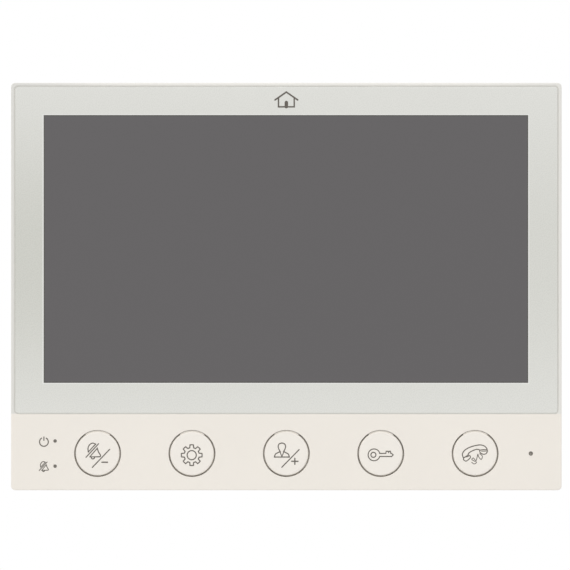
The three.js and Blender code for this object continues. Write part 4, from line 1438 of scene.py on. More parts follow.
@dataclass
class CoverGlass:
    """The pane with its printed border, the picture area behind it, and its sealing tape."""

    casing: Casing
    radius: float = 0.95
    edge: float = 0.22
    picture_width: float = 154.0
    picture_height: float = 85.12
    picture_shift: Point = (-0.14, 0.33)
    line: float = 0.35
    dark_line: float = 0.4
    mark_drop: float = 4.1
    back_edge: float = 0.1
    tape_width: float = 4.0
    seal_depth: float = 0.14
    seal_width: float = 0.24

    def build(self) -> None:
        """Makes the pane, the house mark on it and the tape behind it."""
        glass = self.casing.glass
        face = glass.low.y + PRINT
        centre = glass.centre
        pane = glass.outline(self.radius)
        across, up = self.picture_shift
        picture = Outline(self.picture_width, self.picture_height, 0.08, centre.x + across, centre.z + up)
        inner = replace(picture.grown(-self.dark_line), radius=0.06)
        line = replace(picture.grown(self.line), radius=0.1)
        sections = [(face, inner), (face, picture), (face, line), *lip(pane, face, -self.edge, 1, 4)]
        sections += [(glass.high.y - self.back_edge, pane), (glass.high.y, pane.grown(-self.back_edge))]
        solid = loft(sections, 10)
        mesh = solid.made.data
        for finish in (PANE, PICTURE, PICTURE_EDGE, PANE_LINE):
            mesh.materials.append(finish.material())
        for polygon in mesh.polygons:
            polygon.material_index = self.area(polygon, picture, inner, line, face)
        solid.keep("glass_pane", Body.MONITOR, PANE, ["front_glass"])
        printed(Sign.HOUSE, "house_mark", Body.MONITOR, (centre.x, glass.high.z - self.mark_drop), face)
        self.seal(pane)

    def area(
        self, polygon: bpy.types.MeshPolygon, picture: Outline, inner: Outline, line: Outline, face: float
    ) -> int:
        """Finds which area of the pane a face shows: the border, the picture, its dark edge or the pale line
        round it.

        Args:
            polygon: The face.
            picture: The picture's outline.
            inner: The inner side of its dark edge.
            line: The outer side of the pale line round it.
            face: The pane's front along Y.

        Returns:
            The material's place in the pane's list.
        """
        away = polygon.center
        if abs(away.y - face) > 1e-4:
            return 0
        reach = max(
            abs(away.x - picture.x) - picture.width / 2, abs(away.z - picture.z) - picture.height / 2
        )
        if reach < (inner.width - picture.width) / 2:
            return 1
        if reach < 0:
            return 2
        return 3 if reach < (line.width - picture.width) / 2 else 0

    def seal(self, pane: Outline) -> None:
        """Makes the foam tape and the soft ring that fills the groove round the glass, tinted greyer as
        painted shade of the groove.

        Args:
            pane: The pane's outline.
        """
        tape = Extent.of("glass_adhesive")
        outer = tape.outline(1.0)
        band = plate(outer, tape.low.y, tape.high.y)
        band.cut(plate(outer.grown(-self.tape_width), tape.low.y - 1, tape.high.y + 1))
        band.keep("glass_tape", Body.MONITOR, TAPE, ["glass_adhesive"])
        front = self.casing.front + self.seal_depth
        ring = plate(pane.grown(self.seal_width), front, tape.low.y - 0.02, corner=10)
        ring.cut(plate(pane.grown(0.01), self.casing.front - 1, tape.low.y + 1, corner=10))
        # the ring's greyish tone is partly painted shade of the groove
        ring.keep("glass_seal", Body.MONITOR, SEAL_WITH_GROOVE_SHADE)


@dataclass
class PushButtons:
    """The five round caps with their printed signs."""

    casing: Casing
    edge: float = 0.5
    recess: float = 0.07
    flange_depth: float = 1.0
    stem: float = 2.0
    tab: float = 1.0
    tip_edge: float = 0.25
    web_span: Point = (57.0, 122.0)  # in degrees, from +X towards +Z
    web_width: float = 0.32
    web_depth: float = 0.45

    def build(self) -> None:
        """Makes each cap, its plunger and its sign."""
        front, back = self.flange_span()
        radius, tab = self.casing.cap_radius, self.tab
        for sign in KEYS:
            node = f"{sign.value}_button"
            body = Body(f"{sign.value}_key")
            plunger = Extent.of(f"{sign.value}_switch_plunger")
            box = Extent.of(node)
            x, z = plunger.middle
            face = box.low.y + self.recess
            cap = turned(self.profile(face, box), x, z, 96)
            cap.join(block((x - tab, front, z + radius), (x + tab, back, box.high.z)), self.web(x, z, face))
            cap.keep(f"{sign.value}_cap", body, CAP, [node])
            printed(sign, f"{sign.value}_sign", body, (x, z), face)
            self.plunger(sign, body, plunger)

    def web(self, x: float, z: float, face: float) -> Solid:
        """Makes the thin web in the gap over the cap, where the moulding flows into its flange.

        Args:
            x: The cap's middle along X.
            z: Its middle along Z.
            face: Its front along Y.

        Returns:
            The web.
        """
        radius = self.casing.cap_radius
        inner = arc((x, z), radius - 0.3, *self.web_span, 24)
        outer = arc((x, z), radius + self.web_width, *self.web_span, 24)
        front, back = face + self.web_depth, self.flange_span()[0] + 0.1
        ring = inner + outer[::-1]
        count = len(ring)
        vertices = [(across, y, up) for y in (front, back) for across, up in ring]
        faces = [(i, (i + 1) % count, (i + 1) % count + count, i + count) for i in range(count)]
        for start in (0, count):
            faces += [
                (start + i, start + i + 1, start + count - 2 - i, start + count - 1 - i)
                for i in range(len(inner) - 1)
            ]
        return Solid(vertices, faces)

    def flange_span(self) -> Point:
        """Finds the flange's front and back along Y."""
        return (self.casing.behind_panel, self.casing.behind_panel + self.flange_depth)

    def profile(self, face: float, box: Extent) -> list[Point]:
        """Works out the cap's profile.

        Args:
            face: Its front along Y.
            box: The frame node's box.

        Returns:
            Radius and y of each point, from the front to the stem's end.
        """
        points, radius = [(0.0, face)], self.casing.cap_radius
        for step in range(7):
            turn = step / 6 * math.pi / 2
            out = radius - self.edge * (1 - math.sin(turn))
            points.append((out, face + self.edge * (1 - math.cos(turn))))
        front, back = self.flange_span()
        wide, end = radius + self.casing.cap_flange, box.high.y
        points += [(radius, front), (wide - 0.1, front), (wide, front + 0.1), (wide, back)]
        points += [(self.stem, back), (self.stem, end - 0.2), (self.stem - 0.2, end), (0.0, end)]
        return points

    def plunger(self, sign: Sign, body: Body, box: Extent) -> None:
        """Makes the switch's plunger with a rounded tip.

        Args:
            sign: Which button it belongs to.
            body: What it moves with.
            box: The frame node's box.
        """
        radius, edge = box.size.x / 2, self.tip_edge
        profile = [(0.0, box.low.y), (radius - edge, box.low.y), (radius, box.low.y + edge)]
        profile += [(radius, box.high.y), (0.0, box.high.y)]
        rod = turned(profile, *box.middle, 40)
        node = f"{sign.value}_switch_plunger"
        rod.keep(f"{sign.value}_plunger", body, PLUNGER, [node])


@dataclass
class Indicators:
    """The two light pipes and the microphone behind the front panel."""

    casing: Casing
    slim: float = 0.5
    dome: float = 0.12
    shoulder: float = 0.9
    waist: float = 1.0
    sleeve_hole: float = 0.7
    sleeve_wall: float = 1.3
    sleeve_front: float = 0.8
    can_depth: float = 4.8
    pin_radius: float = 0.3
    pin_place: float = 1.25
    felt: float = -20.3
    felt_radius: float = 0.56
    felt_edge: Point = (0.16, 0.12)

    def build(self) -> None:
        """Makes both light pipes, the microphone's boot and its capsule."""
        step = self.casing.behind_panel
        for name in ("power", "mute"):
            node = f"{name}_light_pipe"
            box = Extent.of(node)
            low, high, wide = box.low.y, box.high.y, box.size.x / 2
            profile = [(0.0, low), (self.slim * 0.6, low + 0.03), (self.slim, low + self.dome)]
            profile += [(self.slim, step), (wide, step), (wide, step + self.shoulder)]
            profile += [(self.waist, step + self.shoulder), (self.waist, high), (0.0, high)]
            turned(profile, *box.middle, 32).keep(f"{name}_indicator", Body.MONITOR, LENS, [node])
        self.sleeve(Extent.of("microphone_boot"))
        self.capsule(Extent.of("microphone_capsule"))

    def sleeve(self, box: Extent) -> None:
        """Makes the microphone's rubber boot.

        Args:
            box: The frame node's box.
        """
        low, high, wide = box.low.y, box.high.y, box.size.x / 2
        inner, front = wide - self.sleeve_wall, low + self.sleeve_front
        profile = [(self.sleeve_hole, low), (wide - 0.2, low), (wide, low + 0.2), (wide, high)]
        profile += [(inner, high), (inner, front), (self.sleeve_hole, front)]
        sleeve = turned(profile, *box.middle, 48)
        sleeve.keep("microphone_sleeve", Body.MONITOR, RUBBER, ["microphone_boot"])

    def capsule(self, box: Extent) -> None:
        """Makes the microphone's can with its two pins, and the felt in front of it, on the boot's axis.

        Args:
            box: The frame node's box.
        """
        x, z = Extent.of("microphone_boot").middle
        low, radius, back = box.low.y, box.size.x / 2, box.low.y + self.can_depth
        profile = [(0.0, low), (radius - 0.3, low), (radius, low + 0.3), (radius, back), (0.0, back)]
        can = turned(profile, x, z, 48)
        can.join(*[
            plate(Outline.round(self.pin_radius, x + side * self.pin_place, z), back - 0.5, box.high.y)
            for side in (-1, 1)
        ])
        can.keep("microphone_can", Body.MONITOR, SLEEVE, ["microphone_capsule"])
        front, end, wide = self.felt, low - 0.02, self.felt_radius
        across, deep = self.felt_edge
        profile = [(0.0, front), (wide - across, front), (wide, front + deep), (wide, end), (0.0, end)]
        turned(profile, x, z, 32).keep("microphone_felt", Body.MONITOR, FELT)


# ---------------------------------------------------------------- rear


@dataclass
class RearCover:
    """The rear shell, with the bracket's recess, the vents, the speaker's grille and the wiring bay."""

    casing: Casing
    inset: float = 6.5
    steps: int = 20
    edge: float = 0.2
    rim_edge: float = 0.12
    tongue_radius: float = 0.5
    tongue_wall: float = 1.2
    recess_floor: float = -1.6
    recess_inner: float = -3.6
    recess_radius: float = 4.0
    recess_margin: float = 1.5
    recess_drop: float = 7.5
    bay_margin: float = 3.0
    bay_radius: float = 1.0
    slot_side: float = 5.0
    slot_drop: float = 7.5
    slot_rise: float = 0.15
    vents: int = 10
    vent_pitch: float = 4.2
    vent_slot: float = 1.6
    vent_length: float = 9.0
    vent_x: float = 40.0
    vent_drop: float = 18.5
    grille_slots: int = 7
    grille_pitch: float = 3.4
    grille_slot: float = 1.5
    grille_radius: float = 12.0
    speaker_wall: float = 1.2
    speaker_collar: float = 3.5
    speaker_depth: float = 4.5
    boss: float = 3.4
    screw_head: float = 2.5
    screw_seat: float = -8.5
    ear: float = 3.0
    chassis_sheet: float = 0.8

    @property
    def start(self) -> float:
        """Where the skin starts along Y, just behind the bezel."""
        return self.casing.parting + SLIP

    @property
    def plateau(self) -> float:
        """The flat back's place along Y."""
        return -self.casing.standoff

    @property
    def inside(self) -> float:
        """The inner face of the flat back along Y."""
        return self.plateau - self.casing.wall

    @property
    def tongue_front(self) -> float:
        """Where the tongue starts along Y."""
        return Extent.of("rear_cover").low.y

    @property
    def tongue(self) -> Outline:
        """The outline of the tongue, which slips into the bezel."""
        return replace(self.casing.outline.grown(-self.casing.wall - SLIP), radius=self.tongue_radius)

    @property
    def recess(self) -> Outline:
        """The recess, with room below the bracket for the lift.

        Returns:
            Its outline.
        """
        box, margin = Extent.of("wall_bracket"), self.recess_margin
        low = (box.low.x - margin, box.low.z - self.recess_drop)
        return Outline.between(low, (box.high.x + margin, box.high.z + margin), self.recess_radius)

    def build(self) -> None:
        """Makes the shell."""
        casing, edge = self.casing, self.rim_edge
        turns = [i / self.steps for i in range(self.steps + 1)]
        sections = [self.section(t) for t in turns]
        first = sections[0][1]
        outer = loft([(self.start, first.grown(-edge)), (self.start + edge, first), *sections[1:]], 10)
        hollow = [self.section(t, casing.wall) for t in turns]
        inner = loft([(casing.parting, hollow[0][1]), *hollow[1:]], 10)
        shell = outer.cut(inner).join(*self.ribs())
        shell.trim(self.envelope(sections))
        shell.cut(*self.cavities())
        shell.cut(*self.slots())
        shell.keep("rear_cover_shell", Body.MONITOR, CASING, ["rear_cover"])

    def section(self, t: float, wall: float = 0.0) -> Section:
        """Works out one section of the curved back.

        Args:
            t: From 0 at the parting line to 1 at the plateau.
            wall: How far inside the skin the section lies.

        Returns:
            Its place along Y and its outline.
        """
        turn = t * math.pi / 2
        inset = self.inset * (1 - math.cos(turn))
        y = self.start + (self.plateau - wall - self.start) * math.sin(turn)
        radius = max(self.casing.corner + inset - wall / 2, 0.5)
        narrow = 2 * (inset + wall)
        full = self.casing.outline
        return (y, replace(full, width=full.width - narrow, height=full.height - narrow, radius=radius))

    def envelope(self, sections: Sequence[Section]) -> Solid:
        """Makes the space that the shell may fill: the skin, carried forward round the tongue.

        Args:
            sections: The skin's sections.

        Returns:
            The space.
        """
        body = loft([(self.start - 0.01, sections[0][1]), *sections[1:]], 10)
        return body.join(plate(self.tongue, self.tongue_front - 1, self.start + 1))

    def speaker_room(self, wall: float = 0.0) -> Outline:
        """Works out the round outline of the speaker's room.

        Args:
            wall: How far outside the room it lies.

        Returns:
            The outline.
        """
        radius = Extent.of("speaker_frame").size.x / 2 + SLIP
        return Outline.round(radius + wall, *Extent.of("speaker_gasket").middle)

    def ribs(self) -> list[Solid]:
        """Makes the tongue, the recess pan, the speaker's collar and the screw bosses.

        Returns:
            What is added to the hollow skin.
        """
        front, inside = self.tongue_front, self.inside
        tongue = plate(self.tongue, front, self.start + 2)
        tongue.cut(plate(self.tongue.grown(-self.tongue_wall), front - 1, self.start + 3))
        pan = plate(self.recess.grown(self.casing.wall), self.recess_inner, self.plateau - GAP)
        room = self.speaker_room(self.speaker_wall)
        collar = plate(room, inside - self.speaker_collar, inside + 1, corner=16)
        back = Extent.of("lcd_chassis").low.y + self.chassis_sheet + GAP
        bosses = [
            plate(Outline.round(self.boss, x, z), back, self.plateau - 1)
            for x, z in self.casing.screw_places
        ]
        return [tongue, pan, collar, *bosses]

    def cavities(self) -> list[Solid]:
        """Makes the tools for the recess, the wiring bay, the speaker's room and the screw holes.

        Returns:
            What is cut out of the shell.
        """
        first, last, margin = Extent.of("door_terminal_1"), Extent.of("power_terminal"), self.bay_margin
        low = (first.low.x - margin, first.low.z - margin)
        bay = Outline.between(low, (last.high.x + margin, first.high.z + margin), self.bay_radius)
        inside, chassis, ear = self.inside, Extent.of("lcd_chassis").low.y, self.ear
        tools = [
            opening(self.recess, self.plateau, self.recess_floor, self.edge),
            opening(bay, self.recess_floor, self.recess_inner - 1, self.edge),
            plate(self.speaker_room(), inside - self.speaker_depth, inside, corner=16),
        ]
        for x, z in self.casing.screw_places:
            head = Outline.round(self.screw_head, x, z)
            hole = Outline.round(self.casing.screw_hole, x, z)
            tools.append(opening(head, self.plateau, self.screw_seat, self.edge))
            tools.append(plate(hole, chassis - 1, self.screw_seat + 1))
            tools.append(block((x - ear, chassis - GAP, z - ear), (x + ear, chassis + 0.9, z + ear)))
        return tools

    def slots(self) -> list[Solid]:
        """Makes the tools for the hook slots, the vents and the speaker's grille.

        Returns:
            What is cut out of the shell.
        """
        tools, side = [], self.slot_side
        for x, z in WallBracket.hook_places():
            slot = Outline.between((x - side, z - self.slot_drop), (x + side, z + self.slot_rise), 0.5)
            tools.append(opening(slot, self.recess_floor, self.recess_inner - 1, self.edge))
        level = self.casing.bezel.high.z - self.vent_drop
        openings = [
            Outline(self.vent_slot, self.vent_length, self.vent_slot / 2, middle + step, level)
            for middle in (-self.vent_x, self.vent_x)
            for step in spread(self.vents, self.vent_pitch)
        ]
        x, z = Extent.of("speaker_gasket").middle
        for rise in spread(self.grille_slots, self.grille_pitch):
            width = 2 * math.sqrt(self.grille_radius**2 - rise**2)
            openings.append(Outline(width, self.grille_slot, self.grille_slot / 2, x, z + rise))
        return tools + [opening(slot, self.plateau, self.inside - 1, self.edge, 5) for slot in openings]


@dataclass
class Screws:
    """Pan-head self-tapping screws with a cross recess."""

    head: float = 2.2
    height: float = 1.5
    side: float = 0.35  # share of the head's height below its dome
    shank: float = 1.15
    thread: float = 0.2
    thread_pitch: float = 0.65
    cross: Point = (1.25, 0.36)
    cross_depth: float = 0.95
    cross_taper: float = 0.55

    def build(self) -> None:
        """Makes the cover's four screws and the four that hold the boards."""
        names = [f"cover_screw_{i}" for i in range(1, 5)]
        names += [f"{board}_board_screw_{i}" for board in ("key", "main") for i in (1, 2)]
        for name in names:
            box = Extent.of(name)
            self.screw(box).keep(f"{name}_pan_head", Body.MONITOR, SCREW, [name])

    def screw(self, box: Extent) -> Solid:
        """Makes one screw with its thread as turned ridges.

        Args:
            box: The frame node's box.

        Returns:
            The screw.
        """
        top, seat, tip = box.high.y, box.high.y - self.height, box.low.y
        core = self.shank - self.thread
        profile = [(0.0, top)]
        for turn in (0.3, 0.55, 0.8, 1.05, 1.3, math.pi / 2):
            rise = self.side + (1 - self.side) * math.cos(turn)
            profile.append((self.head * math.sin(turn), seat + self.height * rise))
        profile += [(self.head, seat + 0.08), (self.head - 0.08, seat), (self.shank, seat)]
        ridge = seat - 0.3
        while ridge > tip + 1.2:
            profile += [(core, ridge), (core, ridge - 0.35), (self.shank, ridge - 0.5)]
            ridge -= self.thread_pitch
        profile += [(core, tip + 0.9), (0.25, tip), (0.0, tip)]
        x, z = box.middle
        screw = turned(profile, x, z, 40)
        for wide, tall in (self.cross, self.cross[::-1]):
            mouth = Outline(2 * wide, 2 * tall, 0.1, x, z)
            end = replace(mouth, width=mouth.width * self.cross_taper, height=mouth.height * self.cross_taper)
            end = replace(end, radius=0.06)
            screw.cut(loft([(top - self.cross_depth, end), (top + 0.01, mouth), (top + 1, mouth)], 3))
        return screw


@dataclass
class WallBracket:
    """The pressed steel plate with four hooks that the monitor hangs on."""

    sheet: float = 1.2
    radius: float = 4.0
    edge: float = 0.15
    hook_width: float = 8.0
    hook_tip: float = 5.0
    tip_edge: float = 0.3
    bend: float = 0.6
    window: Point = (66.4, 17.8)
    wall_slot: Point = (9.0, 4.0)
    side_slots: Point = (30.0, 6.0)
    top_slot: float = 27.0

    @staticmethod
    def hook_places() -> list[Point]:
        """Lists the top of each hook's arm, along X and Z."""
        return [(x, z) for x in (-30.0, 30.0) for z in (24.0, -4.0)]

    def build(self) -> None:
        """Makes the plate, its slots and its hooks."""
        box = Extent.of("wall_bracket")
        back, front = box.high.y, box.high.y - self.sheet
        sheet = plate(box.outline(self.radius), front, back, self.edge, 8)
        sheet.cut(*[through(hole, front, back, self.edge, 6) for hole in self.holes()])
        sheet.join(*[self.hook(x, z, box.low.y, front) for x, z in self.hook_places()])
        sheet.keep("bracket_plate", Body.BRACKET, STEEL, ["wall_bracket"])

    def holes(self) -> list[Outline]:
        """Lists the cable window, the wall-screw slots and what each hook was cut from.

        Returns:
            The holes' outlines.
        """
        long, slim = self.wall_slot
        across, up = self.side_slots
        bay = Extent.of("door_terminal_1").centre.z
        holes = [Outline(*self.window, 2.0, 0.0, bay)]
        holes += [Outline(long, slim, slim / 2, x, up) for x in (-across, across)]
        holes.append(Outline(slim, long, slim / 2, 0.0, self.top_slot))
        wide, tall = self.hook_width + 1, self.hook_tip + 1
        holes += [Outline(wide, tall, 0.5, x, z - self.sheet - tall / 2) for x, z in self.hook_places()]
        return holes

    def hook(self, x: float, z: float, reach: float, front: float) -> Solid:
        """Makes one hook: an arm that leaves the plate and a tip bent upwards.

        Args:
            x: The hook's middle along X.
            z: The top of its arm along Z.
            reach: How far forward it comes along Y.
            front: The plate's front face along Y.

        Returns:
            The hook.
        """
        thick, bend, edge = self.sheet, self.bend, self.tip_edge
        outer = bend + thick
        top = z + self.hook_tip
        section = [(front + thick / 2, z - thick)]
        for step in range(7):
            turn = step / 6 * math.pi / 2
            section.append((reach + outer * (1 - math.sin(turn)), z - thick + outer * (1 - math.cos(turn))))
        section += [(reach, top - edge), (reach + edge, top)]
        section += [(reach + thick - edge, top), (reach + thick, top - edge)]
        for step in range(5):
            turn = (1 - step / 4) * math.pi / 2
            section.append((reach + thick + bend * (1 - math.sin(turn)), z + bend * (1 - math.cos(turn))))
        section.append((front + thick / 2, z))
        return bar(section, x - self.hook_width / 2, x + self.hook_width / 2)


# ---------------------------------------------------------------- inside


@dataclass
class Terminals:
    """The four wiring headers that show in the bay."""

    wall: float = 0.8
    base: float = 1.6
    notch: float = 2.0
    notch_base: float = 3.0
    pins: int = 4
    pitch: float = 2.5
    pin: float = 0.32
    pin_drop: float = 0.3
    pin_base: float = 1.5
    pin_back: float = 0.8

    def build(self) -> None:
        """Makes each header's housing and its gold pins."""
        for node in ("door_terminal_1", "door_terminal_2", "camera_terminal", "power_terminal"):
            self.housing(node, Extent.of(node))
            self.posts(node, Extent.of(node))

    def housing(self, node: str, box: Extent) -> None:
        """Makes one header's housing with its well and the notch in its side.

        Args:
            node: The frame node's name.
            box: The frame node's box.
        """
        x, z = box.middle
        base, notch = box.low.y + self.base, box.low.y + self.notch_base
        wide, tall = (box.size.x - 2 * self.wall) / 2, (box.size.z - 2 * self.wall) / 2
        housing = block(box.low, box.high)
        housing.cut(
            block((x - wide, base, z - tall), (x + wide, 1, z + tall)),
            block((x - self.notch, notch, z), (x + self.notch, 1, box.high.z + 1)),
        )
        housing.keep(f"{node}_housing", Body.MONITOR, NYLON, [node], edge=0.12)

    def posts(self, node: str, box: Extent) -> None:
        """Makes one header's row of square gold pins.

        Args:
            node: The frame node's name.
            box: The frame node's box.
        """
        x, z = box.middle
        half, level = self.pin, z - self.pin_drop
        start, end = box.low.y + self.pin_base, box.high.y - self.pin_back
        posts = [
            block((x + step - half, start, level - half), (x + step + half, end, level + half))
            for step in spread(self.pins, self.pitch)
        ]
        gathered(posts).keep(f"{node}_pins", Body.MONITOR, GOLD, edge=0.12)


@dataclass
class Speaker:
    """The speaker behind its grille. Its outlines give radius and y about its own zero."""

    gasket_span: Point = (2.5, 0.3)  # in from the rim
    gasket_front: float = -0.6
    eye: float = 6.0
    magnet: float = 8.5
    yoke: float = 5.8
    paper: float = 0.25
    roll_span: Point = (5.2, 2.9)  # in from the rim
    roll_height: float = 0.55

    def build(self) -> None:
        """Makes the gasket, the basket, the cone and the magnet."""
        frame = Extent.of("speaker_frame")
        radius, zero = frame.size.x / 2, Extent.of("speaker_gasket").high.y + GAP
        inner, outer = (radius - step for step in self.gasket_span)
        front, eye, magnet, yoke = self.gasket_front, self.eye, self.magnet, self.yoke
        parts = {
            "speaker_gasket": (RUBBER, [(inner, front), (outer, front), (outer, -GAP), (inner, -GAP)]),
            "speaker_frame": (BASKET, [
                (eye, -3.6), (radius - 3.4, -3.6), (radius - 1.6, -1.7), (radius, -1.7), (radius, -0.7),
                (radius - 2.6, -0.7), (radius - 2.6, -1.4), (radius - 4.2, -3), (eye, -3),
            ]),
            "speaker_cone": (PAPER, self.cone(radius)),
            "speaker_magnet": (BASKET, [
                (0, -5.6), (magnet - 0.3, -5.6), (magnet, -5.3), (magnet, -3.9), (magnet - 0.2, -3.7),
                (yoke, -3.7), (yoke, -2.7), (0, -2.7),
            ]),
        }
        for node, (finish, profile) in parts.items():
            solid = turned([(r, zero + y) for r, y in profile], *frame.middle, 72)
            solid.keep(f"{node}_turned", Body.MONITOR, finish, [node])

    def cone(self, radius: float) -> list[Point]:
        """Works out the cone: a domed cap, a straight flank and a rolled surround.

        Args:
            radius: The speaker's radius.

        Returns:
            Radius and y of each point, about the speaker's own zero.
        """
        edge, end = (radius - step for step in self.roll_span)
        middle, roll = (edge + end) / 2, (end - edge) / 2
        front = [(0.0, -1.62), (1.5, -1.72), (2.8, -2.1), (3.1, -2.25), (edge, -1.6)]
        for step in range(1, 8):
            turn = math.pi * step / 8
            front.append((middle - roll * math.cos(turn), -1.6 + self.roll_height * math.sin(turn)))
        front.append((end, -1.4))
        back = [(r, y - self.paper) for r, y in reversed(front)]
        return front + back


@dataclass
class BoardParts:
    """Two can capacitors on square feet, a shielded inductor and the chips' leads."""

    foot: float = 0.95
    can_inset: float = 0.15
    groove: float = 0.2
    can_edge: float = 0.3
    lead: float = 0.16
    lead_height: float = 0.3
    lead_pitch: float = 0.8
    lead_span: Point = (0.1, 0.9)  # from inside the chip's edge to outside it
    lead_margin: float = 1.2

    def build(self) -> None:
        """Makes the cans, their feet, the inductor and the leads."""
        for i in (1, 2):
            node = f"supply_capacitor_{i}"
            self.capacitor(node, Extent.of(node))
        box = Extent.of("power_inductor")
        case = plate(box.outline(2.0), box.low.y, box.high.y, 0.3)
        case.keep("power_inductor_case", Body.MONITOR, RESIN, ["power_inductor"])
        for chip in ("processor_chip", "memory_chip", "video_decoder_chip", "audio_amplifier_chip"):
            self.leads(chip, Extent.of(chip))

    def capacitor(self, node: str, box: Extent) -> None:
        """Makes one capacitor's foot and its can, with the groove above the foot.

        Args:
            node: The frame node's name.
            box: The frame node's box.
        """
        low, high, radius = box.low.y, box.high.y, box.size.x / 2 - self.can_inset
        seat, neck, edge = low + self.foot, radius - self.groove, self.can_edge
        foot = block(box.low, (box.high.x, seat, box.high.z))
        foot.keep(f"{node}_foot", Body.MONITOR, RESIN, edge=0.2)
        profile = [(0.0, seat), (radius, seat), (radius, low + 1.5), (neck, low + 1.65)]
        profile += [(neck, low + 1.8), (radius, low + 1.95), (radius, high - edge)]
        profile += [(radius - edge, high), (0.0, high)]
        turned(profile, *box.middle, 48).keep(f"{node}_can", Body.MONITOR, SLEEVE, [node])

    def leads(self, chip: str, box: Extent) -> None:
        """Makes the two rows of tinned leads beside one chip.

        Args:
            chip: The frame node's name.
            box: The frame node's box.
        """
        count = int((box.size.x - self.lead_margin) / self.lead_pitch) + 1
        inwards, outwards = self.lead_span
        low, high = box.low.y, box.low.y + self.lead_height
        legs = []
        for side, edge in ((-1, box.low.z), (1, box.high.z)):
            near, far = sorted((edge - side * inwards, edge + side * outwards))
            for step in spread(count, self.lead_pitch):
                x = box.centre.x + step
                legs.append(block((x - self.lead, low, near), (x + self.lead, high, far)))
        gathered(legs).keep(f"{chip}_leads", Body.MONITOR, TIN, edge=0.04)


@dataclass
class SmallParts:
    """Rows of chip resistors and capacitors on the main board."""

    length: float = 1.6
    breadth: float = 0.8
    height: float = 0.55
    step: float = 0.1
    pitch: float = 2.6
    bare_end: float = 0.3
    tinned_end: float = 0.29

    def build(self) -> None:
        """Makes the parts' bodies and their tinned ends."""
        face = Extent.of("main_board").high.y
        half, side = self.length / 2, self.breadth / 2
        short, tin = self.bare_end, half - self.tinned_end
        bodies, ends = [], []
        for row, (start, z, count) in enumerate(self.rows()):
            tall = face + self.height + self.step * (row % 2)
            for i in range(count):
                x = start + i * self.pitch
                bodies.append(block((x - half + short, face, z - side), (x + half - short, tall, z + side)))
                for way in (-1, 1):
                    near, far = sorted((x + way * tin, x + way * half))
                    ends.append(block((near, face, z - side), (far, tall + 0.02, z + side)))
        gathered(bodies).keep("small_part_bodies", Body.MONITOR, RESIN, edge=0.05)
        gathered(ends).keep("small_part_ends", Body.MONITOR, TIN, edge=0.04)

    def rows(self) -> list[tuple[float, float, int]]:
        """Lists each row's first place along X and Z and how many parts it has."""
        return [(-26.0, -27.6, 20), (-22.0, -18.2, 17), (-20.0, -1.5, 8), (20.0, 20.0, 6), (18.0, 0.0, 6)]


@dataclass
class CarriedOver:
    """Frame nodes whose shape is right already, softened at their edges and finished."""

    edge: float = 0.08
    corner: float = 50.0  # degrees by which an edge turns before it is rounded
    thin: tuple[str, ...] = ("lcd_flex", "key_cable", "speaker_lead")

    def build(self) -> None:
        """Dresses each node."""
        finishes = {
            "lcd_cell": CELL,
            "lcd_backlight": TRAY,
            "lcd_chassis": TRAY,
            "lcd_flex": FILM,
            "key_board": BOARD,
            "key_cable": RUBBER,
            "power_led": NYLON,
            "mute_led": NYLON,
            "main_board": BOARD,
            "flex_socket": NYLON,
            "processor_chip": RESIN,
            "memory_chip": RESIN,
            "video_decoder_chip": RESIN,
            "audio_amplifier_chip": RESIN,
            "speaker_lead": RUBBER,
        }
        finishes |= {f"{key.value}_switch_body": RESIN for key in KEYS}
        for node, finish in finishes.items():
            piece = bpy.data.objects[node]
            piece.data.materials.clear()
            piece.data.materials.append(finish.material())
            weld = piece.modifiers.new("weld", "WELD")
            weld.merge_threshold = 1e-6
            if node not in self.thin:
                rounding = piece.modifiers.new("rounding", "BEVEL")
                rounding.width = self.edge * MM
                rounding.segments = 2
                rounding.limit_method = "ANGLE"
                rounding.angle_limit = math.radians(self.corner)
            LOG.info("%s: carried over, %s", node, finish.name)


# ---------------------------------------------------------------- studio


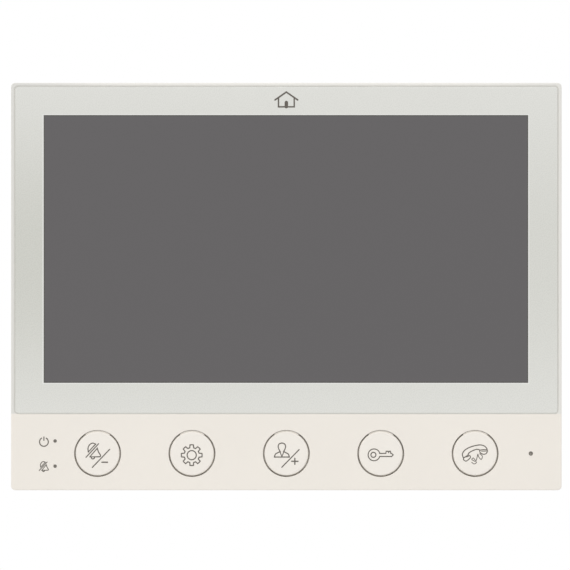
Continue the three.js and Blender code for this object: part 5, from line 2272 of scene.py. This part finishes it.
@dataclass
class Studio:
    """A white sky, two soft lights, a plain pale floor and the camera. Its lengths are metres."""

    distance: float = 1.2
    span: float = 0.18115
    sensor: float = 36.0
    aim: Point = (-0.43, 0.48)  # millimetres along X and Z
    sky_reach: float = 0.9
    sky_up: Point = (0.52, 1.0)  # brightness from below to above
    sky_across: Point = (1.06, 0.92)  # and its change from left to right
    floor_drop: float = 0.19
    floor_radius: float = 0.6
    floor_sides: int = 96

    def build(self) -> None:
        """Makes everything round the object."""
        self.camera()
        self.sky()
        self.light("key_light", (0.4, -1.5, 1.3), 1.1, 7.6)
        self.light("side_light", (-1.5, -0.9, 0.5), 0.9, 3.0)
        self.floor()
        view = bpy.context.scene.view_settings
        view.view_transform = "Standard"
        view.look = "None"

    def camera(self) -> None:
        """Sets the camera square to the front."""
        lens = bpy.data.cameras.new("camera")
        lens.sensor_width = self.sensor
        front = Extent.of("front_bezel").low.y * MM
        lens.lens = self.sensor * (self.distance + front) / self.span
        lens.clip_start = 0.01
        camera = bpy.data.objects.new("camera", lens)
        camera.location = (self.aim[0] * MM, -self.distance, self.aim[1] * MM)
        camera.rotation_euler = (math.pi / 2, 0, 0)
        bpy.context.scene.collection.objects.link(camera)
        bpy.context.scene.camera = camera

    def sky(self) -> None:
        """Makes a white sky that lights the object a little more from above and from the left."""
        world = bpy.data.worlds.new("studio")
        world.use_nodes = True
        bpy.context.scene.world = world
        tree = world.node_tree
        tree.nodes.clear()
        place = tree.nodes.new("ShaderNodeTexCoord")
        split = tree.nodes.new("ShaderNodeSeparateXYZ")
        tree.links.new(place.outputs["Generated"], split.inputs["Vector"])
        product = tree.nodes.new("ShaderNodeMath")
        product.operation = "MULTIPLY"
        for i, (axis, ends) in enumerate((("Z", self.sky_up), ("X", self.sky_across))):
            ramp = tree.nodes.new("ShaderNodeMapRange")
            numbers = (-self.sky_reach, self.sky_reach, *ends)
            for socket, number in zip(("From Min", "From Max", "To Min", "To Max"), numbers):
                ramp.inputs[socket].default_value = number
            tree.links.new(split.outputs[axis], ramp.inputs["Value"])
            tree.links.new(ramp.outputs["Result"], product.inputs[i])
        lit = tree.nodes.new("ShaderNodeBackground")
        tree.links.new(product.outputs["Value"], lit.inputs["Strength"])
        white = tree.nodes.new("ShaderNodeBackground")
        for node in (lit, white):
            node.inputs["Color"].default_value = (1, 1, 1, 1)
        path = tree.nodes.new("ShaderNodeLightPath")
        mix = tree.nodes.new("ShaderNodeMixShader")
        out = tree.nodes.new("ShaderNodeOutputWorld")
        tree.links.new(path.outputs["Is Camera Ray"], mix.inputs["Fac"])
        tree.links.new(lit.outputs["Background"], mix.inputs[1])
        tree.links.new(white.outputs["Background"], mix.inputs[2])
        tree.links.new(mix.outputs["Shader"], out.inputs["Surface"])

    def light(self, name: str, place: tuple[float, float, float], size: float, power: float) -> None:
        """Hangs a soft square light that looks at the object.

        Args:
            name: The light's name.
            place: Where it hangs, in metres.
            size: Its side, in metres.
            power: Its power in watts.
        """
        lamp = bpy.data.lights.new(name, "AREA")
        lamp.size = size
        lamp.energy = power
        made = bpy.data.objects.new(name, lamp)
        made.location = place
        made.rotation_euler = (-Vector(place)).to_track_quat("-Z", "Y").to_euler()
        bpy.context.scene.collection.objects.link(made)

    def floor(self) -> None:
        """Lays a plain pale floor below the object, which fades into the white round it."""
        turns = [2 * math.pi * i / self.floor_sides for i in range(self.floor_sides)]
        rim = [
            (self.floor_radius * math.cos(turn), self.floor_radius * math.sin(turn), -self.floor_drop)
            for turn in turns
        ]
        mesh = bpy.data.meshes.new("floor")
        mesh.from_pydata(rim, [], [tuple(range(self.floor_sides))])
        mesh.materials.append(self.floor_paint())
        floor = bpy.data.objects.new("floor", mesh)
        bpy.context.scene.collection.objects.link(floor)

    def floor_paint(self) -> bpy.types.Material:
        """Makes the floor's pale paint, which is clear at the rim.

        Returns:
            The material.
        """
        wiring = Wiring("pale_floor")
        inputs = wiring.shader.inputs
        inputs["Roughness"].default_value = 0.8
        tone = wiring.ranged(wiring.noise(90.0), (0.3, 0.7), (0, 1))
        wiring.link(wiring.mixed(tone, (0.84, 0.84, 0.83), (0.8, 0.8, 0.79)), inputs["Base Color"])
        away = wiring.add("ShaderNodeVectorMath", operation="LENGTH")
        wiring.link(wiring.scaled((1, 1, 0)), away.inputs[0])
        fade = wiring.ranged(away.outputs["Value"], (0.2, self.floor_radius * 0.98), (1, 0), smooth=True)
        wiring.link(fade, inputs["Alpha"])
        return wiring.made


def main() -> None:
    """Builds the monitor, its bracket and the studio in order, and reports each piece."""
    logging.basicConfig(level=logging.INFO, format="%(message)s")
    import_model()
    casing = Casing()
    assemblies = [
        FrontBezel(casing), CoverGlass(casing), PushButtons(casing), Indicators(casing), RearCover(casing),
        Screws(), WallBracket(), Terminals(), Speaker(), BoardParts(), SmallParts(), CarriedOver(), Studio(),
    ]
    for assembly in assemblies:
        LOG.info("-- %s", type(assembly).__name__)
        assembly.build()


if __name__ == "__main__":
    main()
